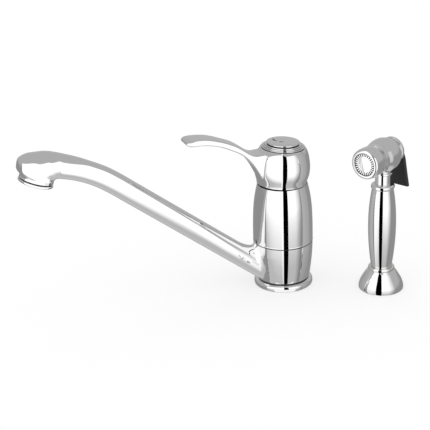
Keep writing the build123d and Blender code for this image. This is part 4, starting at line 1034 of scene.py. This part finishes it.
def makeFloor(values):
    h = values["floorHalf"]
    material, tree, surface = newMaterial("floorPaper")
    surface.inputs["Base Color"].default_value = (values["floorShade"],) * 3 + (1,)
    surface.inputs["Roughness"].default_value = 0.9
    surface.inputs["Specular IOR Level"].default_value = 0.0
    out = tree.nodes["Material Output"]
    glow = addNode(tree, "ShaderNodeEmission", (0, -350))
    path = addNode(tree, "ShaderNodeLightPath", (-400, -350))
    seen = addNode(tree, "ShaderNodeMath", (-200, -350), operation="MULTIPLY")
    seen.inputs[1].default_value = values["floorGlow"]
    link(tree, path.outputs["Is Camera Ray"], seen.inputs[0])
    link(tree, seen.outputs[0], glow.inputs["Strength"])
    paper = addNode(tree, "ShaderNodeAddShader", (150, -100))
    link(tree, surface.outputs[0], paper.inputs[0])
    link(tree, glow.outputs[0], paper.inputs[1])
    clear = addNode(tree, "ShaderNodeBsdfTransparent", (150, -250))
    facing = addNode(tree, "ShaderNodeNewGeometry", (150, 200))
    mix = addNode(tree, "ShaderNodeMixShader", (350, 0))
    link(tree, facing.outputs["Backfacing"], mix.inputs[0])
    link(tree, paper.outputs[0], mix.inputs[1])
    link(tree, clear.outputs[0], mix.inputs[2])
    link(tree, mix.outputs[0], out.inputs["Surface"])
    corners = [(-h, -h, 0), (h, -h, 0), (h, h, 0), (-h, h, 0)]
    floor = makeMesh("studioFloor", corners, [(0, 1, 2, 3)], material)
    floor.visible_glossy = False


def makeCardGlow():
    material = bpy.data.materials.new("cardGlow")
    material.use_nodes = True
    tree = material.node_tree
    tree.nodes.remove(tree.nodes["Principled BSDF"])
    glow = addNode(tree, "ShaderNodeEmission", (0, 0))
    level = addNode(tree, "ShaderNodeAttribute", (-250, 0), attribute_name="glow")
    link(tree, level.outputs["Fac"], glow.inputs["Strength"])
    link(tree, glow.outputs[0], tree.nodes["Material Output"].inputs["Surface"])
    return material


def fadeAt(height):
    # share of a card's light at a height
    low = cardFade[0]
    for high in cardFade[1:]:
        if height <= high[0]:
            break
        low = high
    if height >= high[0]:
        return high[1]
    return low[1] + (high[1] - low[1]) * (height - low[0]) / (high[0] - low[0])


def makeCard(name, left, right, foot, top, leftLight, rightLight, material, heading):
    turn = Matrix.Rotation(radians(heading), 3, "Z")
    heights = [foot] + [z for z, _ in cardFade if foot < z < top] + [top]
    verts = []
    levels = []
    for z in heights:
        for end, light in ((left, leftLight), (right, rightLight)):
            verts.append(turn @ Vector((end[0], -end[1], z)))
            levels.append(light * fadeAt(z))
    faces = [(2 * i, 2 * i + 1, 2 * i + 3, 2 * i + 2) for i in range(len(heights) - 1)]
    card = makeMesh(name, verts, faces, material)
    card.data.attributes.new("glow", "FLOAT", "POINT").data.foreach_set("value", levels)
    card.visible_camera = False
    card.visible_diffuse = False
    card.visible_shadow = False
    card.visible_transmission = False
    card.visible_volume_scatter = False


def stepMask(tree, source, low, high):
    mask = addNode(tree, "ShaderNodeMapRange", interpolation_type="SMOOTHSTEP")
    link(tree, source, mask.inputs["Value"])
    mask.inputs["From Min"].default_value = low
    mask.inputs["From Max"].default_value = high
    return mask.outputs[0]


def blendShade(tree, mask, below, above):
    mix = addNode(tree, "ShaderNodeMix", data_type="FLOAT")
    link(tree, mask, mix.inputs[0])
    for socket, value in ((mix.inputs[2], below), (mix.inputs[3], above)):
        if isinstance(value, float):
            socket.default_value = value
        else:
            link(tree, value, socket)
    return mix.outputs[0]


def makeRoom(values):
    world = bpy.data.worlds.new("studioRoom")
    world.use_nodes = True
    bpy.context.scene.world = world
    tree = world.node_tree
    background = tree.nodes["Background"]
    place = addNode(tree, "ShaderNodeTexCoord")
    turn = addNode(tree, "ShaderNodeVectorRotate", rotation_type="Z_AXIS")
    turn.inputs["Angle"].default_value = radians(-values["heading"])
    link(tree, place.outputs["Generated"], turn.inputs["Vector"])
    axes = addNode(tree, "ShaderNodeSeparateXYZ")
    link(tree, turn.outputs[0], axes.inputs[0])
    above = stepMask(tree, axes.outputs[2], *values["horizonFade"])
    shade = blendShade(tree, above, values["lowerGrey"], values["upperGrey"])
    under = stepMask(tree, axes.outputs[2], *values["underFade"])
    shade = blendShade(tree, under, shade, values["underGrey"])
    behind = stepMask(tree, axes.outputs[1], *values["rearFade"])
    shade = blendShade(tree, behind, shade, values["rearLight"])
    path = addNode(tree, "ShaderNodeLightPath")
    glossy = addNode(tree, "ShaderNodeMix", data_type="FLOAT")
    link(tree, path.outputs["Is Glossy Ray"], glossy.inputs[0])
    glossy.inputs[2].default_value = values["roomLight"]
    link(tree, shade, glossy.inputs[3])
    background.inputs[0].default_value = (1, 1, 1, 1)
    link(tree, glossy.outputs[0], background.inputs[1])


makeFloor(studio)
makeRoom(studio)
cardGlow = makeCardGlow()
for cardName, card in cards.items():
    makeCard(cardName, *card, cardGlow, studio["heading"])
print("studio set")
